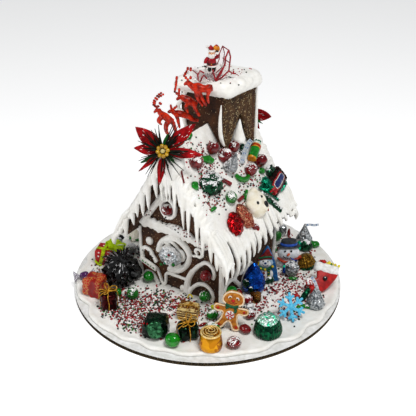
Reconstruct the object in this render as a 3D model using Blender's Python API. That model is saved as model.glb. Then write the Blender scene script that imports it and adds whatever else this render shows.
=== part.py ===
"""A gingerbread house on its round cake board, with its icing, its sleigh and its sweets.

All sizes are in millimetres, and add_piece turns them to metres. The house stands square to
the axes: the ridge runs along Y, the front gable looks to -Y, and the board's underside is z = 0.
"""

import math

import bmesh
import bpy
from mathutils import Matrix, Vector

MM = 0.001
GAP = 0.3  # clear space between neighbouring pieces

BOARD_RADIUS = 151.0
BOARD_THICK = 5.0
ICING_BASE_THICK = 3.0
GROUND = BOARD_THICK + GAP + ICING_BASE_THICK + GAP  # what stands on the iced board

HOUSE_X = -4.4
WALL_HALF_WIDTH = 53.0
WALL_FRONT_Y = -46.0
WALL_BACK_Y = 66.0
WALL_THICK = 8.0
PEAK_Z = 163.0
ROOF_PITCH = math.radians(57.9)
ROOF_RUN = 61.0  # from the ridge to the eave, level, on the panels' underside
PANEL_THICK = 8.0
PANEL_FRONT_Y = -60.0
PANEL_BACK_Y = 78.0
ROOF_ICING_THICK = 6.0
LIP = 4.5  # how far the roof icing stands past the panels

CHIMNEY_TOP = 222.0
CHIMNEY_THICK = 6.5
CAP_TOP = 236.5


# ---------------------------------------------------------------- helpers


def clear_scene():
    for old in list(bpy.data.objects):
        bpy.data.objects.remove(old, do_unlink=True)


def finish_of(name, colour, roughness=0.5, metallic=0.0):
    found = bpy.data.materials.get(name)
    if found:
        return found
    made = bpy.data.materials.new(name)
    made.use_nodes = True
    shader = made.node_tree.nodes["Principled BSDF"]
    shader.inputs["Base Color"].default_value = (*colour, 1.0)
    shader.inputs["Roughness"].default_value = roughness
    shader.inputs["Metallic"].default_value = metallic
    made.diffuse_color = (*colour, 1.0)
    return made


def add_piece(name, shape, material, place=None):
    """Makes the object of one sub-part from a bmesh in millimetres, at the matrix place."""
    bmesh.ops.recalc_face_normals(shape, faces=shape.faces)
    bmesh.ops.scale(shape, vec=(MM, MM, MM), verts=shape.verts)
    mesh = bpy.data.meshes.new(name)
    shape.to_mesh(mesh)
    shape.free()
    mesh.shade_smooth()
    mesh.set_sharp_from_angle(angle=math.radians(40))
    mesh.materials.append(material)
    piece = bpy.data.objects.new(name, mesh)
    bpy.context.scene.collection.objects.link(piece)
    if place is not None:
        piece.matrix_world = Matrix.Translation(place.to_translation() * MM) @ place.to_3x3().to_4x4()
    return piece


def at(x, y, z, turn=0.0, lean=0.0, roll=0.0):
    """A place: turned about Z, then leant about its own X and rolled about its own Y, in degrees."""
    spin = Matrix.Rotation(math.radians(turn), 4, "Z")
    tip = Matrix.Rotation(math.radians(lean), 4, "X")
    side = Matrix.Rotation(math.radians(roll), 4, "Y")
    return Matrix.Translation((x, y, z)) @ spin @ tip @ side


def stood(shape, x, y, turn=0.0, lean=0.0, roll=0.0):
    """The same, at the height where the shape's lowest point rests on the board's icing."""
    place = at(x, y, 0.0, turn, lean, roll)
    lowest = min((place @ vert.co).z for vert in shape.verts)
    return Matrix.Translation((0, 0, GROUND - lowest)) @ place


def turned(profile, segments=14):
    """A lathe shape about Z. The profile's (radius, height) points run from the axis to the axis."""
    shape = bmesh.new()
    ring = [shape.verts.new((radius, 0.0, height)) for radius, height in profile]
    edges = [shape.edges.new(pair) for pair in zip(ring, ring[1:])]
    bmesh.ops.spin(
        shape, geom=ring + edges, cent=(0, 0, 0), axis=(0, 0, 1),
        angle=math.tau, steps=segments, use_merge=True,
    )
    bmesh.ops.remove_doubles(shape, verts=shape.verts, dist=0.001)
    return shape


def slab(outline, thick):
    """A flat piece in the XZ plane from its (x, z) outline, thick along +Y."""
    shape = bmesh.new()
    face = shape.faces.new([shape.verts.new((x, 0.0, z)) for x, z in outline])
    grown = bmesh.ops.extrude_face_region(shape, geom=[face])
    moved = [part for part in grown["geom"] if isinstance(part, bmesh.types.BMVert)]
    bmesh.ops.translate(shape, vec=(0, thick, 0), verts=moved)
    return shape


def block(width, depth, height, bevel=1.5):
    """A box with eased edges that stands on z = 0."""
    shape = bmesh.new()
    bmesh.ops.create_cube(shape, size=1.0)
    bmesh.ops.scale(shape, vec=(width, depth, height), verts=shape.verts)
    bmesh.ops.translate(shape, vec=(0, 0, height / 2), verts=shape.verts)
    bmesh.ops.bevel(
        shape, geom=shape.edges[:], offset=bevel, segments=1, profile=0.5,
        affect="EDGES", material=-1,
    )
    return shape


def ball(radius, squash=1.0, around=12, rings=8):
    shape = bmesh.new()
    bmesh.ops.create_uvsphere(shape, u_segments=around, v_segments=rings, radius=radius)
    bmesh.ops.scale(shape, vec=(1, 1, squash), verts=shape.verts)
    return shape


def rounded(points, steps=3):
    """A smooth closed outline through a few hand-placed points."""
    count = len(points)
    outline = []
    for i in range(count):
        before, start, end, after = (Vector(points[(i + k) % count]) for k in (-1, 0, 1, 2))
        for step in range(steps):
            t = step / steps
            blend = (
                2 * start + (end - before) * t
                + (2 * before - 5 * start + 4 * end - after) * t**2
                + (3 * start - before - 3 * end + after) * t**3
            ) / 2
            outline.append((blend.x, blend.y))
    return outline


# ---------------------------------------------------------------- board and its icing


def make_board():
    shape = bmesh.new()
    bmesh.ops.create_cone(
        shape, cap_ends=True, segments=96, radius1=BOARD_RADIUS, radius2=BOARD_RADIUS,
        depth=BOARD_THICK,
    )
    bmesh.ops.translate(shape, vec=(0, 0, BOARD_THICK / 2), verts=shape.verts)
    add_piece("board", shape, finish_of("board_card", (0.62, 0.62, 0.60), 0.45))


def icing_reach(angle):
    """How far out the poured icing ran: to the rim, but for a bay between its lobes here and there."""
    bays = (
        (-121, 7.0), (-98, 2.0), (-86, 5.0), (-73, 3.0), (-58, 3.0), (-43, 1.5), (-27, 6.0),
        (-10, 6.0), (4, 3.0), (38, 2.0), (70, 5.0), (103, 3.0), (136, 6.0), (171, 4.0), (205, 5.0),
    )
    reach = 148.6 - 3.4 * math.exp(-(((angle + 62) / 34) ** 2))
    for bay, depth in bays:
        away = (angle - bay + 180) % 360 - 180
        reach -= depth * math.exp(-((away / 4.5) ** 2))
    return reach


def make_board_icing():
    steps = 96
    bottom = BOARD_THICK + GAP
    shape = bmesh.new()
    rings = []
    for inset, height in ((0.0, bottom), (-0.4, bottom + 1.4), (2.2, bottom + ICING_BASE_THICK)):
        ring = []
        for i in range(steps):
            angle = 360 * i / steps - 180
            reach = icing_reach(angle) - inset
            turn = math.radians(angle)
            ring.append(shape.verts.new((reach * math.cos(turn), reach * math.sin(turn), height)))
        rings.append(ring)
    for low, high in zip(rings, rings[1:]):
        for i in range(steps):
            j = (i + 1) % steps
            shape.faces.new((low[i], low[j], high[j], high[i]))
    shape.faces.new(rings[0][::-1])
    shape.faces.new(rings[-1])
    add_piece("board_icing", shape, finish_of("royal_icing", (0.86, 0.85, 0.80), 0.5))


# ---------------------------------------------------------------- house


def gingerbread():
    return finish_of("gingerbread", (0.10, 0.042, 0.018), 0.75)


def under_roof(run):
    """Height of the roof panels' underside at this level distance from the ridge."""
    return PEAK_Z - run * math.tan(ROOF_PITCH)


def make_gable(name, front):
    """A gable wall: a five-sided slab, WALL_THICK thick behind the plane y = front."""
    rise = GAP / math.cos(ROOF_PITCH)
    outline = [
        (-WALL_HALF_WIDTH, GROUND),
        (WALL_HALF_WIDTH, GROUND),
        (WALL_HALF_WIDTH, under_roof(WALL_HALF_WIDTH) - rise),
        (0.0, PEAK_Z - rise),
        (-WALL_HALF_WIDTH, under_roof(WALL_HALF_WIDTH) - rise),
    ]
    add_piece(name, slab(outline, WALL_THICK), gingerbread(), at(HOUSE_X, front, 0))


def make_side_wall(name, side):
    """A side wall between the gables, its top cut to the slope of the roof."""
    rise = GAP / math.cos(ROOF_PITCH)
    outer = WALL_HALF_WIDTH
    inner = WALL_HALF_WIDTH - WALL_THICK
    outline = [
        (side * outer, GROUND),
        (side * outer, under_roof(outer) - rise),
        (side * inner, under_roof(inner) - rise),
        (side * inner, GROUND),
    ]
    start = WALL_FRONT_Y + WALL_THICK + GAP
    length = WALL_BACK_Y - WALL_THICK - GAP - start
    add_piece(name, slab(outline, length), gingerbread(), at(HOUSE_X, start, 0))


def slope_point(side, down, out):
    """The (x, z) point that far down the slope from the ridge, and out from the panels' underside."""
    x = down * math.cos(ROOF_PITCH) + out * math.sin(ROOF_PITCH)
    z = PEAK_Z - down * math.sin(ROOF_PITCH) + out * math.cos(ROOF_PITCH)
    return side * x, z


def ridge_point(side, out):
    """Where that layer meets the middle plane, a little short of it so that the two sides part."""
    return side * GAP / 2, PEAK_Z + out / math.cos(ROOF_PITCH) - GAP


def make_roof_panel(name, side):
    length = ROOF_RUN / math.cos(ROOF_PITCH)
    outline = [
        ridge_point(side, 0.0),
        slope_point(side, length, 0.0),
        slope_point(side, length, PANEL_THICK),
        ridge_point(side, PANEL_THICK),
    ]
    place = at(HOUSE_X, PANEL_FRONT_Y, 0)
    add_piece(name, slab(outline, PANEL_BACK_Y - PANEL_FRONT_Y), gingerbread(), place)


def icicle_length(place, longest):
    """Neighbouring icicles differ, in a rhythm that doesn't repeat along one edge."""
    return longest * (0.62 + 0.26 * math.sin(place * 2.4) + 0.12 * math.sin(place * 5.1 + 1.0))


def make_roof_icing(name, side):
    """Icing over one slope, with a lip past the panel from which pulled icicles hang."""
    down_steps, along_steps = 10, 20
    inner, outer = PANEL_THICK + GAP, PANEL_THICK + ROOF_ICING_THICK
    panel_length = ROOF_RUN / math.cos(ROOF_PITCH)
    end = panel_length + LIP
    downs = [end * i / down_steps for i in range(down_steps)] + [panel_length + GAP, end]
    first, last = PANEL_FRONT_Y - LIP, PANEL_BACK_Y + LIP
    alongs = [first] + [
        PANEL_FRONT_Y - GAP + (PANEL_BACK_Y - PANEL_FRONT_Y + 2 * GAP) * i / along_steps
        for i in range(along_steps + 1)
    ] + [last]
    downs = [down for down in downs if not panel_length - 4 < down < panel_length]
    shape = bmesh.new()

    def layer(out):
        grid = []
        for down in downs:
            edge = ridge_point(side, out) if down == 0 else slope_point(side, down, out)
            grid.append([shape.verts.new((edge[0], along, edge[1])) for along in alongs])
        return grid

    bottom, top = layer(inner), layer(outer)
    rows, columns = len(downs), len(alongs)
    hanging = []
    for i in range(rows - 1):
        for j in range(columns - 1):
            shape.faces.new((top[i][j], top[i + 1][j], top[i + 1][j + 1], top[i][j + 1]))
            under = shape.faces.new(
                (bottom[i][j], bottom[i][j + 1], bottom[i + 1][j + 1], bottom[i + 1][j])
            )
            if i == rows - 2 or j in (0, columns - 2):
                hanging.append((under, i, j))
    for j in range(columns - 1):
        for i in (0, rows - 1):
            shape.faces.new((bottom[i][j], bottom[i][j + 1], top[i][j + 1], top[i][j]))
    for i in range(rows - 1):
        for j in (0, columns - 1):
            shape.faces.new((bottom[i][j], bottom[i + 1][j], top[i + 1][j], top[i][j]))
    bmesh.ops.recalc_face_normals(shape, faces=shape.faces)
    for under, i, j in hanging:
        pulled = bmesh.ops.extrude_discrete_faces(shape, faces=[under])["faces"][0]
        middle = pulled.calc_center_median()
        bmesh.ops.scale(shape, vec=(0.25, 0.25, 0.25), verts=pulled.verts,
                        space=Matrix.Translation(-middle))
        longest = 21.0 if i == rows - 2 else 27.0
        drop = icicle_length(i * 1.7 + j * 1.3 + side, longest)
        tip = Vector((side * 0.6 if i == rows - 2 else 0.0, 0.0, -drop))
        if j == 0:
            tip.y = -0.8
        if j == columns - 2:
            tip.y = 0.8
        bmesh.ops.translate(shape, vec=tip, verts=pulled.verts)
    add_piece(name, shape, finish_of("royal_icing", (0.86, 0.85, 0.80), 0.5), at(HOUSE_X, 0, 0))


def make_house():
    make_gable("wall_front", WALL_FRONT_Y)
    make_gable("wall_back", WALL_BACK_Y - WALL_THICK)
    for name, side in (("left", -1), ("right", 1)):
        make_side_wall("wall_" + name, side)
        make_roof_panel("roof_" + name, side)
        make_roof_icing("roof_icing_" + name, side)


# ---------------------------------------------------------------- chimney

# The chimney's plan: its four outer corners, a little out of square as it was put together.
CHIMNEY_CORNERS = ((-33.0, 1.0), (14.5, 7.5), (21.5, 60.5), (-30.0, 57.0))


def roof_surface(x):
    """Height of the icing's upper face at this x."""
    outer = PANEL_THICK + ROOF_ICING_THICK
    return PEAK_Z + outer / math.cos(ROOF_PITCH) - abs(x - HOUSE_X) * math.tan(ROOF_PITCH)


def make_chimney_panel(name, start, end, notch):
    """An upright slab from one plan corner to the next, its thickness inward, cut to the roof."""
    start, end = Vector(start), Vector(end)
    along = (end - start).normalized()
    inward = Vector((-along.y, along.x))
    length = (end - start).length

    def foot(distance):
        spots = [start + along * distance + inward * depth for depth in (0.0, CHIMNEY_THICK)]
        return max(roof_surface(spot.x) for spot in spots) + 2 * GAP

    outline = [(0.0, CHIMNEY_TOP), (0.0, foot(0.0))]
    if notch:
        outline += [
            (length * 0.30, foot(length * 0.30)),
            (length * 0.46, foot(length * 0.5) + 15.0),
            (length * 0.58, foot(length * 0.5) + 26.0),
            (length * 0.68, foot(length * 0.5) + 15.0),
            (length * 0.80, foot(length * 0.80)),
        ]
    else:
        crossing = (HOUSE_X - start.x) / along.x
        outline += [(crossing - 1.5, foot(crossing)), (crossing + 1.5, foot(crossing))]
    outline += [(length, foot(length)), (length, CHIMNEY_TOP)]
    place = Matrix.Translation((start.x, start.y, 0)) @ Matrix.Rotation(
        math.atan2(along.y, along.x), 4, "Z"
    )
    add_piece(name, slab(outline, CHIMNEY_THICK), gingerbread(), place)


def make_chimney():
    corners = [Vector(corner) for corner in CHIMNEY_CORNERS]
    inset = CHIMNEY_THICK + 2.2
    front_left, front_right, back_right, back_left = corners
    make_chimney_panel("chimney_front", front_left, front_right, notch=False)
    make_chimney_panel("chimney_back", back_right, back_left, notch=False)
    side = (back_right - front_right).normalized()
    make_chimney_panel(
        "chimney_right", front_right + side * inset, back_right - side * inset, notch=True
    )
    side = (front_left - back_left).normalized()
    make_chimney_panel(
        "chimney_left", back_left + side * inset, front_left - side * inset, notch=True
    )


def cap_ring(shape, offset, height, droop, steps=32):
    """A ring of vertices round the chimney's plan, pushed out by offset, its corners rounded."""
    corners = [Vector(corner) for corner in CHIMNEY_CORNERS]
    middle = sum(corners, Vector((0, 0))) / len(corners)
    half = (corners[1] - corners[0]).length / 2, (corners[2] - corners[1]).length / 2
    skew = math.atan2((corners[1] - corners[0]).y, (corners[1] - corners[0]).x)
    ring = []
    power = 0.42 if offset > 5 else 0.16
    for i in range(steps):
        turn = math.tau * i / steps
        x = math.copysign(abs(math.cos(turn)) ** power, math.cos(turn)) * (half[0] + offset)
        y = math.copysign(abs(math.sin(turn)) ** power, math.sin(turn)) * (half[1] + offset)
        spot = middle + Vector((x, y))
        spot.x += (y / half[1]) * 2.4
        spot.y += x * math.tan(skew)
        sag = 3.0 * max(math.cos(turn - 0.7), 0.0) if droop > 0.3 else 0.0
        wave = droop * (math.sin(3 * turn + 0.6) + 0.6 * math.sin(5 * turn + 2.0)) - sag
        ring.append(shape.verts.new((spot.x, spot.y, height + wave)))
    return ring


def make_chimney_cap():
    """A thick pillow of icing that sits on the panels and droops past them."""
    shape = bmesh.new()
    floor = CHIMNEY_TOP + GAP
    rings = [
        cap_ring(shape, 4.0, floor, 0.0),
        cap_ring(shape, 4.2, floor - 1.0, 0.0),
        cap_ring(shape, 5.5, floor - 2.0, 1.0),
        cap_ring(shape, 9.0, floor + 1.5, 0.8),
        cap_ring(shape, 9.8, floor + 6.0, 0.4),
        cap_ring(shape, 6.8, CAP_TOP - 2.6, 0.2),
        cap_ring(shape, 0.0, CAP_TOP, 0.0),
    ]
    for low, high in zip(rings, rings[1:]):
        for i in range(len(low)):
            j = (i + 1) % len(low)
            shape.faces.new((low[i], low[j], high[j], high[i]))
    shape.faces.new(rings[0][::-1])
    shape.faces.new(rings[-1])
    add_piece("chimney_icing", shape, finish_of("royal_icing", (0.86, 0.85, 0.80), 0.5))


# ---------------------------------------------------------------- sleigh, Santa and reindeer


def make_sleigh():
    """A clear plastic sleigh: runner, floor, curled dash and a tall pointed back."""
    outline = [
        (-17, 0), (12, 0), (17, 4), (19.5, 9), (16, 27), (13, 19), (12, 11), (8, 6.5),
        (-11, 6.5), (-15, 10), (-20, 13), (-22.5, 10), (-19, 6),
    ]
    shape = slab(outline, 16.0)
    bmesh.ops.translate(shape, vec=(0, -8, 0), verts=shape.verts)
    add_piece("sleigh", shape, finish_of("clear_plastic", (0.85, 0.80, 0.80), 0.1),
              at(0.5, 11.0, CAP_TOP + GAP, turn=56))


def make_santa():
    """Boots, coat, beard and hat as one standing figure on the sleigh's floor."""
    profile = [
        (0, 0), (4.2, 0.4), (4.0, 5), (6.3, 6.5), (6.8, 10), (5.2, 15), (4.6, 17), (4.9, 20),
        (4.2, 23), (2.6, 26), (0, 28.5),
    ]
    add_piece("santa", turned(profile, 12), finish_of("red_paint", (0.45, 0.01, 0.01), 0.35),
              at(-0.5, 8.5, CAP_TOP + GAP + 6.5 + GAP))


def make_reindeer():
    """Four moulded reindeer, each a flat leaping figure with branched antlers."""
    figure = [
        (-20, 1.5), (-19, -1), (-14.5, -1), (-10, -4.5), (-9, -7), (-10.5, -12), (-13, -17),
        (-11, -17.5), (-7.5, -12), (-5, -7), (3, -6), (6, -8), (8, -13), (12, -19), (14.5, -19),
        (11.5, -12), (11, -6), (12.5, 0), (13.5, 3.5), (11, 4.8), (-4, 3.5), (-9, 4.5),
        (-12.5, 7), (-13.6, 11), (-14, 15), (-16.5, 20.5), (-19, 20), (-18.6, 16), (-16.4, 13),
        (-19.4, 14.5), (-21.4, 12), (-17, 8.5), (-16.6, 5.5),
    ]
    plastic = finish_of("red_plastic", (0.52, 0.05, 0.01), 0.25)
    places = (
        at(2.2, -16.0, 232.5, turn=33, roll=14),
        at(-13.5, -20.0, 219.0, turn=33, roll=30),
        at(-21.9, -19.2, 200.5, turn=33, roll=-4),
        at(-21.0, -45.0, 208.0, turn=62, roll=42),
    )
    for number, place in enumerate(places, start=1):
        shape = slab([(0.92 * x, 0.92 * z) for x, z in figure], 3.6)
        add_piece(f"reindeer_{number}", shape, plastic, place)


def flower_outline(petals):
    """Pointed petals, each with its own direction in degrees and its own length."""
    outline = []
    for i, (angle, length) in enumerate(petals):
        after = petals[(i + 1) % len(petals)][0]
        gap = (after - angle) % 360
        for turn, reach in (
            (angle - 13, length * 0.6), (angle, length), (angle + 13, length * 0.6),
            (angle + gap / 2, 8.0),
        ):
            bend = math.radians(turn)
            outline.append((reach * math.cos(bend), reach * math.sin(bend)))
    return outline


def make_poinsettias():
    """A cloth flower on a pick at each gable: six pointed petals about a cluster of beads."""
    leaf = finish_of("petal_cloth", (0.42, 0.0, 0.01), 0.7)
    front = ((43, 41), (90, 24), (136, 38), (172, 34), (222, 34), (264, 35), (305, 35), (358, 38))
    back = ((8, 34), (60, 34), (112, 34), (172, 34), (226, 34), (296, 34))
    add_piece("poinsettia_front", slab(flower_outline(front), 2.4), leaf,
              at(-5.0, -72.0, 186.0, turn=25, lean=-24))
    add_piece("poinsettia_back", slab(flower_outline(back), 2.4), leaf,
              at(-7.5, 90.5, 170.0, turn=188, lean=-16))


# ---------------------------------------------------------------- sweets on the roof


def on_roof(x, y, lift, turn=0.0):
    """A place that far out of the right slope's icing, over this x. Its Z points out of the roof
    and its X down the slope, before it turns about Z."""
    out = PANEL_THICK + ROOF_ICING_THICK + GAP + lift
    z = PEAK_Z + out / math.cos(ROOF_PITCH) - (x - HOUSE_X) * math.tan(ROOF_PITCH)
    slope = Matrix.Rotation(ROOF_PITCH, 4, "Y")
    return Matrix.Translation((x, y, z)) @ slope @ Matrix.Rotation(math.radians(turn), 4, "Z")


def laid(shape, axis):
    """The shape turned a quarter about this axis, so that a flat or upright piece lies down."""
    bmesh.ops.rotate(shape, verts=shape.verts, matrix=Matrix.Rotation(math.pi / 2, 3, axis))
    return shape


def make_roof_sweets():
    cherry = finish_of("cherry_candy", (0.20, 0.0, 0.01), 0.2)
    silver = finish_of("silver_foil", (0.75, 0.76, 0.77), 0.3, 1.0)
    green_foil = finish_of("green_foil", (0.0, 0.09, 0.05), 0.3, 0.8)
    gumdrop = [(0, 0), (6.0, 0.3), (6.7, 3.2), (5.8, 7.4), (3.5, 10.2), (0, 11.0)]
    for number, (x, y) in enumerate(((9.8, -40.6), (30.3, 32.8), (31.2, 56.0)), start=1):
        add_piece(f"cherry_drop_{number}", turned(gumdrop, 12), cherry, on_roof(x, y, 0.0))
    drop = [(0, 0), (8.6, 0.4), (9.0, 3.0), (6.4, 8.0), (3.2, 12.5), (1.2, 17), (0, 18)]
    add_piece("silver_drop_roof", turned(drop), silver, on_roof(22.0, 1.5, 0.0))
    bag = [(0, 0), (10.0, 0.6), (12.0, 3.5), (9.6, 8.0), (4.0, 11.5), (0, 12.5)]
    add_piece("green_bag_roof", turned(bag), green_foil, on_roof(24.0, -33.0, 0.0))
    stick = [(0, -14), (4.6, -14), (5.2, -12.8), (5.2, 12.8), (4.6, 14), (0, 14)]
    add_piece("roll_candy", laid(turned(stick, 12), "Y"), finish_of("green_wrap", (0.0, 0.22, 0.02), 0.3),
              on_roof(28.6, 54.0, 5.6, turn=-66))
    add_piece("wrapped_bar", block(24.0, 38.0, 11.0, 3.0),
              finish_of("bar_wrap", (0.03, 0.02, 0.03), 0.25), on_roof(44.9, 65.0, 0.0, turn=5))
    add_piece("green_stick", block(35.0, 6.0, 5.0, 1.6),
              finish_of("dark_green_wrap", (0.0, 0.06, 0.03), 0.3), on_roof(53.8, 42.0, 0.0, turn=31))
    add_piece("bear_head", ball(14.6, squash=0.55, around=14, rings=8),
              finish_of("cream_fondant", (0.80, 0.72, 0.55), 0.6), on_roof(55.3, 15.8, 8.03))
    mitten = [
        (-13, -8), (-4, -10), (6, -9), (13, -5), (14, 3), (8, 9), (1, 8), (-4, 13), (-9, 11),
        (-8, 5), (-14, 3),
    ]
    add_piece("red_mitten", laid(slab(rounded(mitten, 2), 6.0), "X"),
              finish_of("red_foil", (0.50, 0.01, 0.01), 0.3, 0.4), on_roof(50.3, -20.5, 0.0, turn=66))


# ---------------------------------------------------------------- sweets on the walls


def make_wall_sweets():
    cherry = finish_of("cherry_candy", (0.20, 0.0, 0.01), 0.2)
    green = finish_of("green_gum", (0.0, 0.16, 0.01), 0.15)
    radius = 6.2
    front = WALL_FRONT_Y - radius - GAP
    for name, x, z, finish in (
        ("gable_ball", -17.0, 109.0, cherry),
        ("wall_ball_red", 32.5, 45.0, cherry),
        ("wall_ball_green", 31.0, 18.4, green),
    ):
        add_piece(name, ball(radius), finish, at(x, front, z))
    add_piece("wall_ball_left", ball(radius), green, at(-40.4, -57.5, GROUND + radius))
    side_x = HOUSE_X + WALL_HALF_WIDTH + radius + GAP
    add_piece("side_ball", ball(radius), green, at(side_x, -37.0, 25.0))
    lump = ball(11.0, squash=0.72, around=14, rings=8)
    bmesh.ops.scale(lump, vec=(1.22, 1.0, 1.0), verts=lump.verts)
    add_piece("wall_foil_sweet", lump, finish_of("silver_foil", (0.75, 0.76, 0.77), 0.3, 1.0),
              at(-12, WALL_FRONT_Y - 8.3, 52.0, lean=90, roll=0))


# ---------------------------------------------------------------- sweets on the ground


def make_present(name, place, size, colour, bow):
    """A wrapped box with a bow pulled up from the middle of its lid."""
    width, depth, height = size
    shape = block(width, depth, height, 1.4)
    lid = max(shape.faces, key=lambda face: face.calc_center_median().z)
    bmesh.ops.inset_region(shape, faces=[lid], thickness=min(width, depth) * 0.22)
    knot = bmesh.ops.extrude_face_region(shape, geom=[lid])
    top = [part for part in knot["geom"] if isinstance(part, bmesh.types.BMVert)]
    bmesh.ops.translate(shape, vec=(0, 0, bow), verts=top)
    middle = sum((vert.co for vert in top), Vector()) / len(top)
    bmesh.ops.scale(shape, vec=(1.35, 1.35, 1.0), verts=top, space=Matrix.Translation(-middle))
    bmesh.ops.delete(shape, geom=[lid], context="FACES_ONLY")
    add_piece(name, shape, finish_of(name + "_wrap", colour, 0.35), place)


def make_presents():
    make_present("present_lime", at(-111.4, -46.6, GROUND, turn=20), (20, 20, 19), (0.42, 0.0, 0.0), 6)
    make_present("present_dark", at(-51, -113, GROUND, turn=40), (17, 17, 20), (0.09, 0.0, 0.01), 4)
    make_present("present_green", at(47.5, -108, GROUND, turn=50), (21, 18, 17), (0.0, 0.10, 0.02), 4)
    make_present("present_gold", at(29, -80, GROUND, turn=20), (17, 15, 14), (0.40, 0.24, 0.05), 3)
    add_piece("red_box_sweet", block(22, 20, 22, 2.5), finish_of("red_foil_wrap", (0.5, 0.01, 0.0), 0.3),
              at(-80.3, -101.5, GROUND, turn=12))


def make_bundle():
    """Dark shiny film gathered round sweets, its neck fanned out up and to the left."""
    profile = [
        (0, 0), (14, 0.5), (19, 7), (19.5, 15), (17, 21), (14.5, 26), (16.5, 33), (0, 31),
    ]
    shape = turned(profile, 14)
    for vert in shape.verts:
        lean = max(vert.co.z - 14, 0.0)
        vert.co.x -= 0.30 * lean
        vert.co.y += 0.15 * lean
    add_piece("dark_bundle", shape, finish_of("dark_film", (0.012, 0.011, 0.014), 0.15),
              at(-68, -68, GROUND))


def make_cups():
    """Foil sweets and filled foil cups, each a lathe shape."""
    gold_cup = [(0, 0), (10.5, 0.3), (11.6, 5), (10.4, 13), (8.4, 17.5), (5.4, 21), (0, 22.5)]
    add_piece("gold_cup", turned(gold_cup, 18), finish_of("gold_foil", (0.75, 0.45, 0.08), 0.3, 1.0),
              at(76, -109, GROUND))
    green_cup = [(0, 0), (12.4, 0.3), (14.4, 4.5), (13.4, 11), (10.8, 17), (7, 20.5), (0, 21.5)]
    add_piece("green_cup", turned(green_cup, 18), finish_of("green_foil", (0.0, 0.09, 0.05), 0.3, 0.8),
              at(112, -58, GROUND))
    drop = [(0, 0), (9.6, 0.4), (10.2, 4), (8.2, 11), (4.6, 18), (1.6, 24.5), (0, 26)]
    silver = finish_of("silver_foil", (0.75, 0.76, 0.77), 0.3, 1.0)
    add_piece("silver_drop", turned(drop), silver, at(133, 9, GROUND))
    add_piece("silver_drop_back", turned(drop, 12), silver, at(62.6, 119.4, GROUND))
    ribbed = [(0, 0), (9, 0.3), (10.4, 8), (9, 13), (4, 16), (0, 16.6)]
    add_piece("ribbed_cup", turned(ribbed), finish_of("gold_foil", (0.75, 0.45, 0.08), 0.3, 1.0),
              at(89.5, 74, GROUND))
    add_piece("silver_ball", ball(9.0), silver, at(82.5, 47.5, GROUND + 9.0))
    egg = [(0, 0), (8, 0.8), (12.6, 6), (13.2, 12), (11.2, 20), (7, 26.5), (0, 31)]
    add_piece("blue_egg", turned(egg), finish_of("blue_foil", (0.0, 0.05, 0.40), 0.3, 0.7),
              at(62.6, -3, GROUND))
    lump = ball(14.6, squash=0.80, around=14, rings=8)
    add_piece("green_foil_sweet", lump, finish_of("green_foil", (0.0, 0.09, 0.05), 0.3, 0.8),
              at(18.5, -121.5, GROUND + 11.7))
    twist = [(0, 0), (4.5, 1), (1.6, 5), (4.6, 8), (4.8, 13), (1.6, 16), (4.5, 20), (0, 21)]
    add_piece("twist_candy", turned(twist, 12), finish_of("clear_wrap", (0.35, 0.12, 0.40), 0.15),
              at(-101.7, -79.9, GROUND + 5.0, turn=-38, lean=90))
    side_sweet = [(0, 0), (7.6, 0.4), (8.2, 4), (6.4, 10), (2.4, 16.5), (0, 18)]
    add_piece("side_sweet", turned(side_sweet, 12), finish_of("white_green_sweet", (0.6, 0.7, 0.5), 0.4),
              at(-114, 12, GROUND))


def gingerbread_man_outline():
    """A head, two arms, a waist and two legs, mirrored about the middle."""
    right = [
        (0, 41), (6, 40), (10.5, 35), (10.5, 29.5), (6.5, 25.5), (12, 24.5), (17, 24), (18, 20),
        (15, 18), (8.5, 17.5), (8, 13), (10.5, 6), (13, 2.5), (10.5, 0), (6.5, 0.5), (3, 6),
    ]
    left = [(-x, z) for x, z in reversed(right[1:])]
    return right + [(0, 8.5)] + left


def make_figures():
    """Flat biscuits and figures that lean back a little where they stand."""
    biscuit = finish_of("golden_biscuit", (0.42, 0.17, 0.04), 0.7)
    shape = slab(gingerbread_man_outline(), 5.0)
    add_piece("gingerbread_man", shape, biscuit, stood(shape, 74.5, -77.5, turn=32, lean=-16, roll=12))
    snowman = [(-13, 1), (0, 0), (13, 1), (13.5, 5), (8, 20), (3.5, 36), (0, 45), (-3.5, 36),
               (-9, 20), (-13.5, 5)]
    shape = slab(rounded(snowman, 2), 6.0)
    add_piece("snowman_biscuit", shape, finish_of("blue_icing", (0.02, 0.17, 0.5), 0.4),
              stood(shape, 64.5, 22, turn=30, lean=-4))
    pop = [(0, 0), (11, 0.5), (13, 6), (10.5, 11.5), (13.4, 16), (13.8, 21), (11.0, 25.5),
           (14.8, 26.5), (14.8, 28.2), (9.4, 28.8), (9.2, 36), (0, 36.5)]
    shape = turned(pop, 14)
    bmesh.ops.scale(shape, vec=(1.0, 0.5, 1.0), verts=shape.verts)
    add_piece("snowman_pop", shape, finish_of("white_paint", (0.8, 0.8, 0.8), 0.35),
              at(71.2, 60.5, GROUND, turn=34))
    boot = [(-13, 24), (4, 30), (17, 31), (17, 22), (13, 21), (12, 6), (6, 0), (-8, -2), (-15, 2),
            (-12, 9), (-4, 11), (-6, 20), (-13, 19)]
    shape = slab(boot, 8.0)
    add_piece("red_stocking", shape, finish_of("red_felt", (0.50, 0.01, 0.01), 0.8),
              stood(shape, 122.5, 33.8, turn=44, lean=-40, roll=12))
    make_snowflake()


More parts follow.
